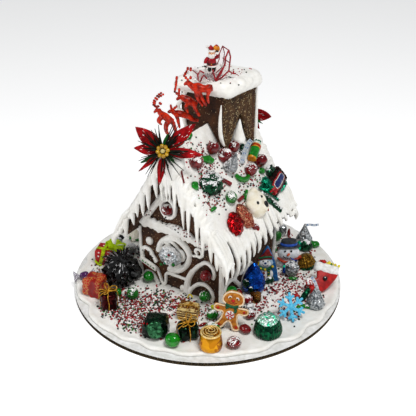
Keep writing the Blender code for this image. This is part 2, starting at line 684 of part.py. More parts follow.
def make_snowflake():
    """A six-armed sugar snowflake: each arm forks once, and every arm is the same."""
    arm = ((2.6, -2.2), (8.0, -1.5), (10.6, -5.2), (12.6, -4.0), (11.2, -1.3), (15.6, -1.2),
           (15.6, 1.2), (11.2, 1.3), (12.6, 4.0), (10.6, 5.2), (8.0, 1.5))
    outline = []
    for i in range(6):
        turn = math.tau * (i + 0.5) / 6
        for reach, aside in arm:
            outline.append((
                reach * math.cos(turn) - aside * math.sin(turn),
                reach * math.sin(turn) + aside * math.cos(turn),
            ))
    shape = slab(outline, 3.0)
    add_piece("snowflake", shape, finish_of("sky_sugar", (0.08, 0.45, 0.70), 0.5),
              stood(shape, 118.8, -22.3, turn=40, lean=-38, roll=-3))


def main():
    clear_scene()
    make_board()
    make_board_icing()
    make_house()
    make_chimney()
    make_chimney_cap()
    make_sleigh()
    make_santa()
    make_reindeer()
    make_poinsettias()
    make_roof_sweets()
    make_wall_sweets()
    make_presents()
    make_bundle()
    make_cups()
    make_figures()


main()
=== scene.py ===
"""A gingerbread house on its round cake board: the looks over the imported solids.

Sizes are written in millimetres, and add_piece turns a finished piece to metres. The front
gable looks to -Y, the ridge runs along Y, and the board's underside is z = 0.
"""

import math
import random

import bmesh
import bpy
from mathutils import Matrix, Vector, noise
from mathutils.bvhtree import BVHTree


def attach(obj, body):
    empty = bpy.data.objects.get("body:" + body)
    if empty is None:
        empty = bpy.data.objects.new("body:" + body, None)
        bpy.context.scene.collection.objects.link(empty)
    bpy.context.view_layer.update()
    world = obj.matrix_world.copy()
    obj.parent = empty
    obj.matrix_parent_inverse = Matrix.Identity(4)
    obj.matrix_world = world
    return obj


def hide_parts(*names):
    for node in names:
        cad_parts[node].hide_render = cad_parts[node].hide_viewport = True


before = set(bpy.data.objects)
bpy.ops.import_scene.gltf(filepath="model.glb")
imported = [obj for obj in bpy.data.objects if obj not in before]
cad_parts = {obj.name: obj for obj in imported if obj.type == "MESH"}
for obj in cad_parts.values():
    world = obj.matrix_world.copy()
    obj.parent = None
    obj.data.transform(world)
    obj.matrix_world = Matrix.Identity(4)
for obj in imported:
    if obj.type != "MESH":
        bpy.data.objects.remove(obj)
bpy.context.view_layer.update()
scene = bpy.context.scene

# ---------------------------------------------------------------- camera
# The house is seen from its front right corner and from above, through a
# portrait lens, so that its uprights lean together only a little.

camera_data = bpy.data.cameras.new("house_view")
camera_data.lens = 63.43
camera_data.clip_start = 0.01
camera = bpy.data.objects.new("house_view", camera_data)
camera.location = (0.3861, -0.5842, 0.4802)
looking = Vector((-0.4818, 0.7303, -0.4843))
camera.rotation_euler = looking.to_track_quat("-Z", "Y").to_euler()
scene.collection.objects.link(camera)
scene.camera = camera

# ---------------------------------------------------------------- studio
# A seamless white table under a wide soft box to the right and above, with a
# weaker one to the left, and white walls that fill the shadows.

scene.view_settings.view_transform = "Standard"


def linear(hex_code):
    """An sRGB hex colour as the linear red, green, blue and alpha that shaders take."""
    shares = [int(hex_code[i : i + 2], 16) / 255 for i in (1, 3, 5)]
    return (*(c / 12.92 if c <= 0.04045 else ((c + 0.055) / 1.055) ** 2.4 for c in shares), 1.0)


def add_node(tree, kind, inputs=None, feeds=None, stops=(), **settings):
    """Adds one node: its settings, a ramp's stops, its inputs, each a value or another node's
    output, and the sockets that its outputs feed."""
    made = tree.nodes.new(kind)
    for name, value in settings.items():
        setattr(made, name, value)
    for number, (place, colour) in enumerate(stops):
        made.color_ramp.elements[number].position = place
        made.color_ramp.elements[number].color = linear(colour)
    for name, value in (inputs or {}).items():
        if isinstance(value, bpy.types.NodeSocket):
            tree.links.new(value, made.inputs[name])
        else:
            made.inputs[name].default_value = value
    for name, socket in (feeds or {}).items():
        tree.links.new(made.outputs[name], socket)
    return made


def soft_box(name, place, aim, width, power):
    """A square light that looks from its place to its aim."""
    light = bpy.data.lights.new(name, "AREA")
    light.size, light.energy = width, power
    lamp = bpy.data.objects.new(name, light)
    lamp.location = place
    lamp.rotation_euler = (Vector(aim) - Vector(place)).to_track_quat("-Z", "Y").to_euler()
    scene.collection.objects.link(lamp)


soft_box("soft_box_right", (0.62, -0.30, 1.35), (0, 0, 0.08), 0.42, 12.5)
soft_box("soft_box_left", (-0.55, -1.10, 0.75), (0, 0, 0.10), 0.50, 5.0)

world = bpy.data.worlds.new("white_walls")
world.use_nodes = True
world.node_tree.nodes["Background"].inputs["Color"].default_value = linear("#f4f6f8")
world.node_tree.nodes["Background"].inputs["Strength"].default_value = 0.30
scene.world = world

table = bmesh.new()
bmesh.ops.create_grid(table, x_segments=1, y_segments=1, size=3.0)
table_mesh = bpy.data.meshes.new("table")
table.to_mesh(table_mesh)
table_paper = bpy.data.materials.new("white_seamless_paper")
table_paper.use_nodes = True
paper_shader = table_paper.node_tree.nodes["Principled BSDF"]
paper_shader.inputs["Base Color"].default_value = linear("#f6f6f6")
paper_shader.inputs["Roughness"].default_value = 0.9
paper_shader.inputs["Emission Color"].default_value = (1.0, 1.0, 1.0, 1.0)
paper_shader.inputs["Emission Strength"].default_value = 0.42
table_mesh.materials.append(table_paper)
table_top = bpy.data.objects.new("table", table_mesh)
scene.collection.objects.link(table_top)

# ---------------------------------------------------------------- cake board
# A 12 inch round board of corrugated card: a white liner above and below a
# brown fluted core, die-cut, so that the open flutes show round its edge.

MM = 0.001
BOARD_RADIUS = 151.0


def as_mesh(shape):
    """A bmesh or a mesh, as a mesh."""
    if isinstance(shape, bpy.types.Mesh):
        return shape
    made = bpy.data.meshes.new("shape")
    shape.to_mesh(made)
    shape.free()
    return made


def add_piece(name, slot, parts, *stands_for, place=Matrix(), crease=50):
    """Joins parts, each a shape in millimetres with its finish, into one piece of the house,
    and sets it down in its place."""
    whole = bmesh.new()
    finishes = []
    for shape, finish in parts:
        if finish not in finishes:
            finishes.append(finish)
        before = len(whole.faces)
        mesh = as_mesh(shape)
        mesh.transform(place)
        whole.from_mesh(mesh)
        bpy.data.meshes.remove(mesh)
        whole.faces.ensure_lookup_table()
        for face in whole.faces[before:]:
            face.material_index = finishes.index(finish)
    bmesh.ops.scale(whole, vec=(MM, MM, MM), verts=whole.verts)
    made = bpy.data.meshes.new(name)
    whole.to_mesh(made)
    whole.free()
    for finish in finishes:
        made.materials.append(finish)
    made.shade_smooth()
    made.set_sharp_from_angle(angle=math.radians(crease))
    piece = bpy.data.objects.new(name, made)
    scene.collection.objects.link(piece)
    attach(piece, "root")
    if stands_for:
        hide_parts(*stands_for)
    return piece


def new_finish(name, colour, roughness, **inputs):
    """A material named for what the real one is, with its tree, its shader and its coordinates."""
    made = bpy.data.materials.new(name)
    made.use_nodes = True
    tree = made.node_tree
    shader = tree.nodes["Principled BSDF"]
    shader.inputs["Base Color"].default_value = linear(colour)
    shader.inputs["Roughness"].default_value = roughness
    shader.inputs["Specular IOR Level"].default_value = 0.3
    for socket, value in inputs.items():
        shader.inputs[socket.replace("_", " ")].default_value = value
    coords = add_node(tree, "ShaderNodeTexCoord").outputs["Object"]
    return made, tree, shader, coords


def clouded(name, low, high, roughness, size, detail=2.0, relief=0.0, span=(0.35, 0.65), **inputs):
    """A finish that clouds from low to high in patches of this size. The relief is how far its
    patches stand up. Gives the material and the nodes that more can be built on."""
    made, tree, shader, coords = new_finish(name, high, roughness, **inputs)
    cloud = add_node(tree, "ShaderNodeTexNoise",
        {"Vector": coords, "Scale": 1 / (size * MM), "Detail": detail})
    tint = add_node(tree, "ShaderNodeValToRGB", {"Fac": cloud.outputs["Fac"]},
        {"Color": shader.inputs["Base Color"]},
                    zip(span, (low, high)))
    if relief:
        add_node(tree, "ShaderNodeBump",
            {"Height": cloud.outputs["Fac"], "Distance": relief * MM, "Strength": 1.0},
                 {"Normal": shader.inputs["Normal"]})
    return made, tree, shader, coords, cloud, tint.outputs["Color"]


# Bleached liner paper: matte white, with the faint cloudiness of pressed fibre.
liner_paper = clouded("bleached_liner_paper", "#d6d6d2", "#ebebea", 0.75, 6, 5.0, 0.08)[0]

# Kraft fluting: brown paper, its dark colour painted shade for the flutes in shadow between the liners,
# rough where the die cut it.
kraft_fluting_painted_shade = clouded("kraft_fluting_painted_shade", "#1d1810", "#5c4d34", 0.9, 1.6, 3.0, 0.4)[0]

FLUTES = 300
core = bmesh.new()
bmesh.ops.create_cone(core, cap_ends=True, segments=2 * FLUTES, radius1=150.2, radius2=150.2, depth=4.1)
bmesh.ops.translate(core, vec=(0, 0, 2.5), verts=core.verts)
for vert in core.verts:
    step = round(math.atan2(vert.co.y, vert.co.x) / math.tau * 2 * FLUTES)
    if step % 2:
        vert.co.xy *= 0.9915


def liner(low, high):
    """A thin round of liner paper between two heights."""
    shape = bmesh.new()
    bmesh.ops.create_cone(shape, cap_ends=True, segments=240, radius1=BOARD_RADIUS,
                          radius2=BOARD_RADIUS, depth=high - low)
    bmesh.ops.translate(shape, vec=(0, 0, (low + high) / 2), verts=shape.verts)
    return shape


# The lower liner is given the same dark finish, painted shade for the board's shadowed underside edge.
add_piece("cake_board", "board_card",
          [(liner(4.35, 5.0), liner_paper), (core, kraft_fluting_painted_shade), (liner(0.0, 0.6), kraft_fluting_painted_shade)],
          "board")

# ---------------------------------------------------------------- icing on the board
# Royal icing, poured and pushed out in lobes almost to the rim, where it set
# with a fat round lip. It is uneven under the sweets and banked up at the walls.

GROUND = 8.6


def melted(shape, voxel, softness=4, dents=()):
    """One skin over touching lumps, as wet icing or baked dough settles, then dented by noise.
    Each dent is the size of its waves and how deep they are."""
    mesh = as_mesh(shape)
    body = bpy.data.objects.new("melting", mesh)
    scene.collection.objects.link(body)
    skin = body.modifiers.new("skin", "REMESH")
    skin.mode, skin.voxel_size, skin.use_smooth_shade = "VOXEL", voxel, True
    if softness:
        settle = body.modifiers.new("settle", "SMOOTH")
        settle.factor, settle.iterations = 0.5, softness
    for size, depth in dents:
        waves = bpy.data.textures.new("waves", "CLOUDS")
        waves.noise_scale, waves.noise_depth = size, 2
        dent = body.modifiers.new("dent", "DISPLACE")
        dent.texture, dent.texture_coords, dent.strength, dent.mid_level = waves, "LOCAL", depth, 0.5
    graph = bpy.context.evaluated_depsgraph_get()
    done = bpy.data.meshes.new_from_object(body.evaluated_get(graph), depsgraph=graph)
    bpy.data.objects.remove(body)
    bpy.data.meshes.remove(mesh)
    return done


def icing_reach(angle):
    """How far out the icing ran: to the rim, but for a bay between its lobes here and there."""
    bays = (
        (-121, 7.0), (-98, 2.0), (-86, 5.0), (-73, 3.0), (-58, 3.0), (-43, 1.5), (-27, 6.0),
        (-10, 6.0), (4, 3.0), (38, 2.0), (70, 5.0), (103, 3.0), (136, 6.0), (171, 4.0), (205, 5.0),
    )
    reach = 148.6 - 3.4 * math.exp(-(((angle + 62) / 34) ** 2))
    for bay, depth in bays:
        away = (angle - bay + 180) % 360 - 180
        reach -= depth * math.exp(-((away / 4.5) ** 2))
    return reach


# Royal icing: an opaque sugar paste, beaten white, that dries to a soft satin
# with a fine chalky grain and the faintest warm shade where it lies thin.
royal_icing, tree, shader, coords, _, _ = clouded(
    "royal_icing", "#eeebe3", "#fbfaf6", 0.45, 9, 4.0, span=(0.3, 0.7), Specular_IOR_Level=0.35)
chalk = add_node(tree, "ShaderNodeTexNoise", {"Vector": coords, "Scale": 1 / (1.3 * MM), "Detail": 4.0})
add_node(tree, "ShaderNodeBump", {"Height": chalk.outputs["Fac"], "Distance": 0.35 * MM, "Strength": 1.0},
         {"Normal": shader.inputs["Normal"]})

profile = [(0.01, 8.3)] + [(3.0 * i, 8.3) for i in range(1, 48)]
profile += [(143.6, 8.9), (145.6, 9.2), (147.3, 8.9), (148.4, 7.9), (148.6, 6.6), (148.0, 5.4), (0.01, 5.4)]
poured = bmesh.new()
ring = [poured.verts.new((radius, 0.0, height)) for radius, height in profile]
edges = [poured.edges.new(pair) for pair in zip(ring, ring[1:])]
bmesh.ops.spin(poured, geom=ring + edges, cent=(0, 0, 0), axis=(0, 0, 1), angle=math.tau,
               steps=320, use_merge=True)
bmesh.ops.remove_doubles(poured, verts=poured.verts, dist=0.02)
bmesh.ops.recalc_face_normals(poured, faces=poured.faces)
for vert in poured.verts:
    out = vert.co.xy.length
    angle = math.degrees(math.atan2(vert.co.y, vert.co.x))
    shrink = 1 - (1 - icing_reach(angle) / 148.6) * max(0.0, (out - 110) / 38.6) ** 2
    vert.co.xy *= shrink
    if vert.co.z > 6:
        lumps = 0.9 * noise.noise(vert.co / 13) + 0.45 * noise.noise(vert.co / 4.5)
        vert.co.z += lumps * min(1.0, (vert.co.z - 5.4) / 2.5)
add_piece("board_icing_poured", "royal_icing", [(poured, royal_icing)], "board_icing")

# ---------------------------------------------------------------- gingerbread walls
# Four slabs of dark gingerbread, baked hard and glued with icing: two
# five-sided gables, and between them two side walls cut to the roof's slope.

HOUSE_X = -4.4
WALL_FRONT_Y = -46.0
WALL_RIGHT_X = 48.6

# Dark gingerbread: a matte crumb full of molasses. Brown noise at the size of
# the crumb, darker baked patches, and pale sugar crystals stuck to the crust.
gingerbread, tree, shader, coords, baked, brown = clouded(
    "dark_gingerbread", "#230e04", "#4a280c", 0.72, 14, 6.0, span=(0.36, 0.64))
baked.inputs["Roughness"].default_value = 0.65
crystals = add_node(tree, "ShaderNodeTexVoronoi", {"Vector": coords, "Scale": 1 / (2.6 * MM)})
sparse = add_node(tree, "ShaderNodeMath", {0: crystals.outputs["Distance"], 1: 0.17}, operation="LESS_THAN")
add_node(tree, "ShaderNodeMix", {"Factor": sparse.outputs[0], "A": brown, "B": linear("#b49a78")},
         {"Result": shader.inputs["Base Color"]}, data_type="RGBA")
crumb = add_node(tree, "ShaderNodeTexNoise", {"Vector": coords, "Scale": 1 / (1.8 * MM), "Detail": 5.0})
add_node(tree, "ShaderNodeBump", {"Height": crumb.outputs["Fac"], "Distance": 0.7 * MM, "Strength": 1.0},
         {"Normal": shader.inputs["Normal"]})


def solid_of(node):
    """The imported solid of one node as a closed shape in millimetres."""
    shape = bmesh.new()
    shape.from_mesh(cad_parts[node].data)
    bmesh.ops.remove_doubles(shape, verts=shape.verts, dist=1e-6)
    bmesh.ops.scale(shape, vec=(1 / MM, 1 / MM, 1 / MM), verts=shape.verts)
    return shape


for side in ("front", "back", "left", "right"):
    slab = melted(solid_of("wall_" + side), 1.3, 3, [(7.0, 0.8), (2.2, 0.5)])
    add_piece("gingerbread_wall_" + side, "gingerbread", [(slab, gingerbread)], "wall_" + side)

# ---------------------------------------------------------------- gingerbread roof
# Two slabs of the same gingerbread that meet at the ridge and reach past the
# walls all round. Almost all of them is under icing.

for side in ("left", "right"):
    slab = melted(solid_of("roof_" + side), 1.5, 2, [(7.0, 0.5)])
    add_piece("gingerbread_roof_" + side, "gingerbread", [(slab, gingerbread)], "roof_" + side)

# ---------------------------------------------------------------- roof icing
# Royal icing spread thick over both slopes. At the eaves and down both gable
# edges it was pulled off the knife in rows of long tapering icicles.

PEAK_Z = 163.0
PITCH = math.radians(57.9)
COS, SIN = math.cos(PITCH), math.sin(PITCH)
ICING_OUT = 13.6


def slope_spot(side, down, out, y):
    """The spot that far down a slope from the ridge and out from the panel's underside."""
    return Vector((HOUSE_X + side * (down * COS + out * SIN), y, PEAK_Z - down * SIN + out * COS))


def softened(shape, offset, segments=3, edges=None):
    """The shape with its edges, or only these edges, rounded off."""
    bmesh.ops.bevel(shape, geom=edges or shape.edges[:], offset=offset, segments=segments, profile=0.5,
                    affect="EDGES", material=-1)
    return shape


def boxed(width, depth, height, offset, segments=3):
    """A box round the origin with rounded edges."""
    shape = bmesh.new()
    bmesh.ops.create_cube(shape, size=1.0)
    bmesh.ops.scale(shape, vec=(width, depth, height), verts=shape.verts)
    return softened(shape, offset, segments)


def roped(strands, sides=4, steps=5, straight=False):
    """Round strands, each a list of (spot, radius) that its middle runs through."""
    line = bpy.data.curves.new("strands", "CURVE")
    line.dimensions, line.bevel_depth, line.bevel_resolution = "3D", 1.0, sides
    line.use_fill_caps, line.resolution_u = True, steps
    for strand in strands:
        spline = line.splines.new("BEZIER")
        spline.bezier_points.add(len(strand) - 1)
        for point, (spot, radius) in zip(spline.bezier_points, strand):
            point.co, point.radius = spot, radius
        for point in spline.bezier_points:
            point.handle_left_type = point.handle_right_type = "VECTOR" if straight else "AUTO"
    body = bpy.data.objects.new("strands", line)
    scene.collection.objects.link(body)
    graph = bpy.context.evaluated_depsgraph_get()
    done = bpy.data.meshes.new_from_object(body.evaluated_get(graph), depsgraph=graph)
    bpy.data.objects.remove(body)
    bpy.data.curves.remove(line)
    return done


def between(table, place):
    """The height at a place, straight between the nearest entries of a (place, height) table."""
    for (x0, z0), (x1, z1) in zip(table, table[1:]):
        if place <= x1:
            return z0 + (z1 - z0) * max(0.0, (place - x0) / (x1 - x0))
    return table[-1][1]


def eave_icicles(side, tips, chance):
    """Icicles along an eave. They start up the slope as ridges in the icing and hang to the tips."""
    made = []
    y = -65.5
    while y < 83:
        for layer, reach in ((0, chance.uniform(-4.0, 1.0)), (1, chance.uniform(4.0, 12.0))):
            place = y + layer * chance.uniform(4.2, 6.2)
            tip_z = between(tips, place) + reach
            fat = chance.uniform(2.9, 3.7) - 0.6 * layer
            lean = chance.uniform(-1.6, 1.6)
            lip = slope_spot(side, 112 - 5 * layer, ICING_OUT - 1.4, place)
            tip = Vector((lip.x + side * chance.uniform(0.0, 3.0), place + lean, min(tip_z, lip.z - 4)))
            made.append([
                (slope_spot(side, chance.uniform(66, 80), ICING_OUT - 2.6, place - lean), fat * 0.7),
                (slope_spot(side, chance.uniform(86, 92), ICING_OUT - 0.9, place), fat * 1.1),
                (lip, fat * 0.86),
                (lip.lerp(tip, 0.55) + Vector((side * 1.2, 0, 0)), fat * 0.6),
                (tip, 0.7),
            ])
        y += chance.uniform(9.0, 12.5)
    return made


def rake_icicles(side, end, tips, chance):
    """Icicles down one slope's gable edge, over the panel's thickness. End is -1 in front, 1 behind."""
    made = []
    edge = -61.5 if end < 0 else 79.5
    run = 1.0
    while run < 74:
        for layer, reach in ((0, chance.uniform(-8.0, 0.0)), (1, chance.uniform(10.0, 26.0))):
            place = run + layer * chance.uniform(3.2, 4.6)
            x = HOUSE_X + side * place
            surface = PEAK_Z + 13.0 / COS - place * SIN / COS
            fat = chance.uniform(2.6, 3.2) - 0.3 * layer
            over = Vector((x, edge + end * 2.4, surface - 4.5))
            tip = Vector((x + chance.uniform(-1.4, 1.4), edge + end * chance.uniform(1.6, 4.0),
                          min(between(tips, x) + reach, surface - 14)))
            made.append([
                (Vector((x, edge - end * 9, surface - 2.2)), fat * 0.8),
                (Vector((x, edge - end * 1, surface - 1.2)), fat),
                (over, fat * 1.05),
                (over.lerp(tip, 0.45) + Vector((0, end * 0.8, 0)), fat * 0.9),
                (over.lerp(tip, 0.78) + Vector((0, end * 0.5, 0)), fat * 0.56),
                (tip, 0.6),
            ])
        run += chance.uniform(7.4, 9.6)
    return made


FRONT_TIPS = ((-80, 76), (-77, 76), (-68, 69), (-58, 74), (-48, 97), (-30, 116), (-21, 128), (3, 128),
              (6, 116), (17, 103), (25, 97), (40, 79), (48, 75), (63, 64), (76, 59))
RIGHT_TIPS = ((-66, 57), (-55, 56), (-25, 56), (-12, 61), (20, 63), (44, 68), (62, 71), (83, 71))
BACK_TIPS = ((-80, 60), (-40, 88), (-5, 138), (30, 92), (76, 58))
LEFT_TIPS = ((-66, 66), (-30, 57), (20, 55), (83, 60))

for side, word, tips in ((-1, "left", LEFT_TIPS), (1, "right", RIGHT_TIPS)):
    chance = random.Random(11 + side)
    coat = boxed(116.0, 144.0, 5.2, 2.2)
    slope = Matrix.Rotation(side * PITCH, 4, "Y")
    bmesh.ops.transform(coat, matrix=Matrix.Translation(slope_spot(side, 35.0, 11.2, 9.0)) @ slope,
                        verts=coat.verts)
    bmesh.ops.bisect_plane(coat, geom=coat.verts[:] + coat.edges[:] + coat.faces[:],
                           plane_co=(HOUSE_X - side * 0.6, 0, 0), plane_no=(side, 0, 0), clear_inner=True)
    bmesh.ops.holes_fill(coat, edges=coat.edges[:])
    bmesh.ops.recalc_face_normals(coat, faces=coat.faces)
    spread = melted(coat, 1.2, 3, [(9.0, 1.1), (3.0, 0.7)])
    add_piece("icing_coat_" + word, "royal_icing", [(spread, royal_icing)], "roof_icing_" + word)
    fringes = (("eave", eave_icicles(side, tips, chance)),
               ("front", rake_icicles(side, -1, FRONT_TIPS, chance)),
               ("back", rake_icicles(side, 1, BACK_TIPS, chance)))
    for edge, drips in fringes:
        fringe = melted(roped(drips), 0.7, 2, [(6.0, 0.5), (1.8, 0.16)])
        add_piece(f"icicles_{edge}_{word}", "royal_icing", [(fringe, royal_icing)])

# ---------------------------------------------------------------- piping on the walls
# Icing squeezed from a bag onto the gingerbread: a ring, arches over the sweets, the
# door's outline and a band of trim. It has sagged a little, and set where it touched.


def piped(trail, radius, chance):
    """A piped line through a trail of spots, a little uneven as a hand makes it."""
    return [(Vector(spot), radius * chance.uniform(0.86, 1.14)) for spot in trail]


def on_front(places, lift=1.0):
    """Spots on the front gable from their (x, z) places."""
    return [(x, WALL_FRONT_Y - lift, z) for x, z in places]


def on_side(places, lift=1.0):
    """Spots on the right wall from their (y, z) places."""
    return [(WALL_RIGHT_X + lift, y, z) for y, z in places]


def dabbed(dabs):
    """Lumps of icing, each a centre and its three half sizes."""
    shape = bmesh.new()
    for centre, sizes in dabs:
        fit = Matrix.Translation(centre) @ Matrix.Diagonal((*sizes, 1.0))
        bmesh.ops.create_icosphere(shape, subdivisions=3, radius=1.0, matrix=fit)
    return shape


# The thick trim across the gable: how high it lies, and half its height, from left to right.
LEDGE_MIDDLE = ((-54, 80), (-40, 83), (-22, 82), (-8, 84), (6, 82), (20, 79), (30, 77))
LEDGE_HALF = ((-54, 3.0), (-44, 6.0), (-20, 7.0), (-6, 7.4), (8, 6.0), (20, 4.6), (30, 3.4))

chance = random.Random(5)
ring = [(-33, 51), (-29, 63), (-20, 71), (-10, 74), (-1, 71), (6, 65), (8, 57), (5, 47), (-2, 38),
    (-11, 33),
        (-20, 33)]
inner_ring = [(-24, 67), (-18, 62), (-20, 54), (-25, 47), (-24, 40)]
inner_top = [(-20, 70), (-12, 67), (-6, 62), (-2, 54)]
gable_ring = [(-23.5, 116), (-17, 119.5), (-10.5, 116), (-8.6, 109), (-11, 101.5), (-17.5, 98.5),
    (-24, 102),
              (-26, 109), (-23.5, 116)]
arch_high = [(4, 10), (6, 22), (9, 33), (15, 44), (23, 53), (30, 57.5), (37, 54), (39.5, 46), (38, 40)]
arch_low = [(7, 9), (10, 16), (16, 23.5), (25, 28.5), (34, 26), (38, 18), (36, 10)]
arch_left = [(-54, 11), (-51, 17.5), (-45, 18.5), (-39, 12), (-34, 5)]
leaf_left = [(-47, 19), (-41, 17), (-36, 10), (-30, 5)]
branch_left = [(-36, 28), (-32, 18), (-28, 10), (-25, 9)]
door = [(-25, 9.5), (-24, 18), (-22.5, 25), (-12, 26.5), (-1, 26.5), (4.5, 26), (4, 17), (3, 9.5)]
loop_left = [(-55, 35), (-56, 42), (-52, 48.5), (-46, 48), (-41, 42), (-36, 35)]
spiral = [(12.5, 60), (17, 61.5), (22, 62), (24.6, 66), (22, 70.5), (17.5, 70), (16, 66.5), (19, 65)]
lines = [
    piped(on_front(ring, 1.4), 2.9, chance), piped(on_front(ring[1:9], 0.6), 3.6, chance),
    piped(on_front(inner_ring), 2.6, chance), piped(on_front(inner_top), 2.2, chance),
    piped(on_front(gable_ring, 2.0), 2.4, chance),
    piped(on_front(arch_high), 2.5, chance),
    piped(on_front([(x - 3.6, z - 2) for x, z in arch_high[:4]]), 1.8, chance),
    piped(on_front(arch_low), 2.3, chance), piped(on_front(arch_left), 2.0, chance),
    piped(on_front(leaf_left), 2.0, chance), piped(on_front(branch_left), 2.2, chance),
    piped(on_front(door), 1.8, chance), piped(on_front(loop_left), 2.4, chance),
    piped(on_front(spiral), 1.7, chance),
    piped(on_front([(-6, 152), (-17, 134), (-30, 115), (-44, 95), (-54, 82)], 2.0), 4.2, chance),
]
dabs = [
    ((-9, -47.5, 84), (7.0, 3.6, 6.0)), ((-45, -47.0, 59.5), (4.6, 3.2, 5.0)),
    ((-1.5, -47.0, 13.5), (3.4, 2.8, 3.6)), ((-3, -47.0, 55), (6.0, 2.6, 8.0)),
    ((-22, -47.0, 50), (7.0, 2.6, 12.0)), ((-12, -47.0, 42), (9.0, 2.6, 7.0)),
]
for step in range(46):
    share = step / 45
    x = -54 + 84 * share
    dabs.append((Vector((x, -47.4, between(LEDGE_MIDDLE, x) + chance.uniform(-1.6, 1.6))),
                 (chance.uniform(3.0, 4.6), 3.4, between(LEDGE_HALF, x) * chance.uniform(0.8, 1.1))))
wall_icing = bmesh.new()
wall_icing.from_mesh(roped(lines))
wall_icing.from_mesh(as_mesh(dabbed(dabs)))
add_piece("piping_front", "royal_icing", [(melted(wall_icing, 0.75, 1, [(3.0, 0.6)]), royal_icing)])

side_arch = [(-43, 10), (-43.5, 20), (-42, 29), (-34, 34), (-25, 31), (-18, 24), (-10, 16), (-2, 12)]
curl_one = [(-22, 27), (-19, 37), (-12, 43), (-5, 38), (-7, 31), (-12, 32)]
curl_two = [(-6, 16), (1, 27), (8, 34), (14, 30), (11, 24)]
corner_seam = [(49.0, -46.4, 84), (49.4, -46.8, 60), (49.2, -46.6, 40), (49.6, -46.8, 22), (49.4, -47, 9)]
seam_beside = [(46.6, -46.6, 70), (46.9, -46.9, 45), (46.5, -46.8, 25), (47.0, -46.9, 9)]
side_lines = [
    piped(on_side(side_arch), 2.4, chance), piped(on_side(curl_one), 2.2, chance),
    piped(on_side(curl_two), 2.2, chance), piped(corner_seam, 2.0, chance), piped(seam_beside, 1.3, chance),
    piped([(WALL_RIGHT_X + 1, y, 10 + 1.5 * math.sin(y)) for y in range(-40, 64, 8)], 3.0, chance),
    piped([(HOUSE_X - 53.4, y, 10 + 1.5 * math.sin(y)) for y in range(-44, 64, 8)], 3.0, chance),
    piped([(-58, -46.5, z) for z in (9, 30, 55, 75)], 1.8, chance),
    piped([(-58, 66.4, z) for z in (9, 30, 55, 75)], 2.2, chance),
    piped([(49, 66.4, z) for z in (9, 30, 55, 75)], 2.2, chance),
    piped([(x, 66.8, 10 + 1.5 * math.sin(x)) for x in range(-58, 52, 8)], 3.0, chance),
]
add_piece("piping_corners", "royal_icing",
          [(melted(roped(side_lines), 0.8, 1, [(3.0, 0.7)]), royal_icing)])

# The tag that leans on the door's left: a flat bar of white sugar paste with
# green ticks pressed in and a strip of dark red jelly under its edge.

# White sugar paste: rolled icing sugar and gum, smooth and dull, never quite flat.
sugar_paste = clouded("white_sugar_paste", "#dedbd2", "#f8f6f0", 0.5, 4, 3.0, 0.4)[0]


def under_sugar(tree, shader, coords, tint, white, grain, cloud, lean, flat, level):
    """Covers a finish with icing sugar where it faces up and where loose grains cling. Gives
    the amount of cover."""
    grains = add_node(tree, "ShaderNodeTexNoise",
        {"Vector": coords, "Scale": 1 / (grain * MM), "Detail": 2.0})
    drifts = add_node(tree, "ShaderNodeTexNoise",
        {"Vector": coords, "Scale": 1 / (cloud * MM), "Detail": 1.0})
    upward = add_node(tree, "ShaderNodeSeparateXYZ",
        {0: add_node(tree, "ShaderNodeNewGeometry").outputs["Normal"]})
    lying = add_node(tree, "ShaderNodeMath", {0: upward.outputs["Z"], 1: lean, 2: flat},
        operation="MULTIPLY_ADD")
    total = add_node(tree, "ShaderNodeMath", {0: grains.outputs["Fac"], 1: drifts.outputs["Fac"]},
        operation="ADD")
    heaped = add_node(tree, "ShaderNodeMath", {0: total.outputs[0], 1: lying.outputs[0]}, operation="ADD")
    cover = add_node(tree, "ShaderNodeMath", {0: heaped.outputs[0], 1: level}, operation="GREATER_THAN")
    add_node(tree, "ShaderNodeMix", {"Factor": cover.outputs[0], "A": tint, "B": linear(white)},
             {"Result": shader.inputs["Base Color"]}, data_type="RGBA")
    return cover.outputs[0]


def boiled_sugar(name, colour, deep, roughness=0.16, dusted=0.0):
    """Coloured boiled or panned sugar: a clear hard gloss over colour that pools darker in
    places. Dusted sweets carry loose white grains where they rolled in icing sugar."""
    made, tree, shader, coords, _, tint = clouded(
        name, deep, colour, roughness, 5, 3.0, Coat_Weight=0.35, Coat_Roughness=0.06)
    if dusted:
        under_sugar(tree, shader, coords, tint, "#f2f0ee", 1.5, 6, 0.34, -0.18, 1.28 - 0.2 * dusted)
    return made


green_jelly = boiled_sugar("green_fruit_jelly", "#0e8418", "#045c0a")
red_jelly = boiled_sugar("dark_red_fruit_jelly", "#8c0a14", "#4c0408")


def slab_between(start, end, tall, thick):
    """A rounded bar between two spots, its height along Z and its thickness along Y."""
    start, end = Vector(start), Vector(end)
    shape = boxed((end - start).length, thick, tall, min(tall, thick) * 0.3)
    turn = Matrix.Rotation(-math.atan2((end - start).z, (end - start).xy.length), 4, "Y")
    heading = Matrix.Rotation(math.atan2((end - start).y, (end - start).x), 4, "Z")
    bmesh.ops.transform(shape, matrix=Matrix.Translation((start + end) / 2) @ heading @ turn,
        verts=shape.verts)
    return shape


tag = [(slab_between((-57.5, -49.6, 35), (-34.5, -49.6, 27.5), 6.4, 3.4), sugar_paste),
       (slab_between((-55.5, -48.4, 29.5), (-40, -48.4, 24.6), 4.2, 3.0), red_jelly)]
for step, (tilt, size) in enumerate(((-0.9, 1.7), (0.8, 1.4), (-0.6, 1.8), (0.7, 1.3), (-0.8, 1.6))):
    x = -52.5 + 3.6 * step
    z = 33.4 - 1.17 * step
    tag.append((slab_between((x - 0.6, -51.4, z - tilt), (x + 0.9, -51.4, z + tilt * 1.2), size * 0.75,
        0.7), green_jelly))
add_piece("sugar_tag", "white_sugar", tag)
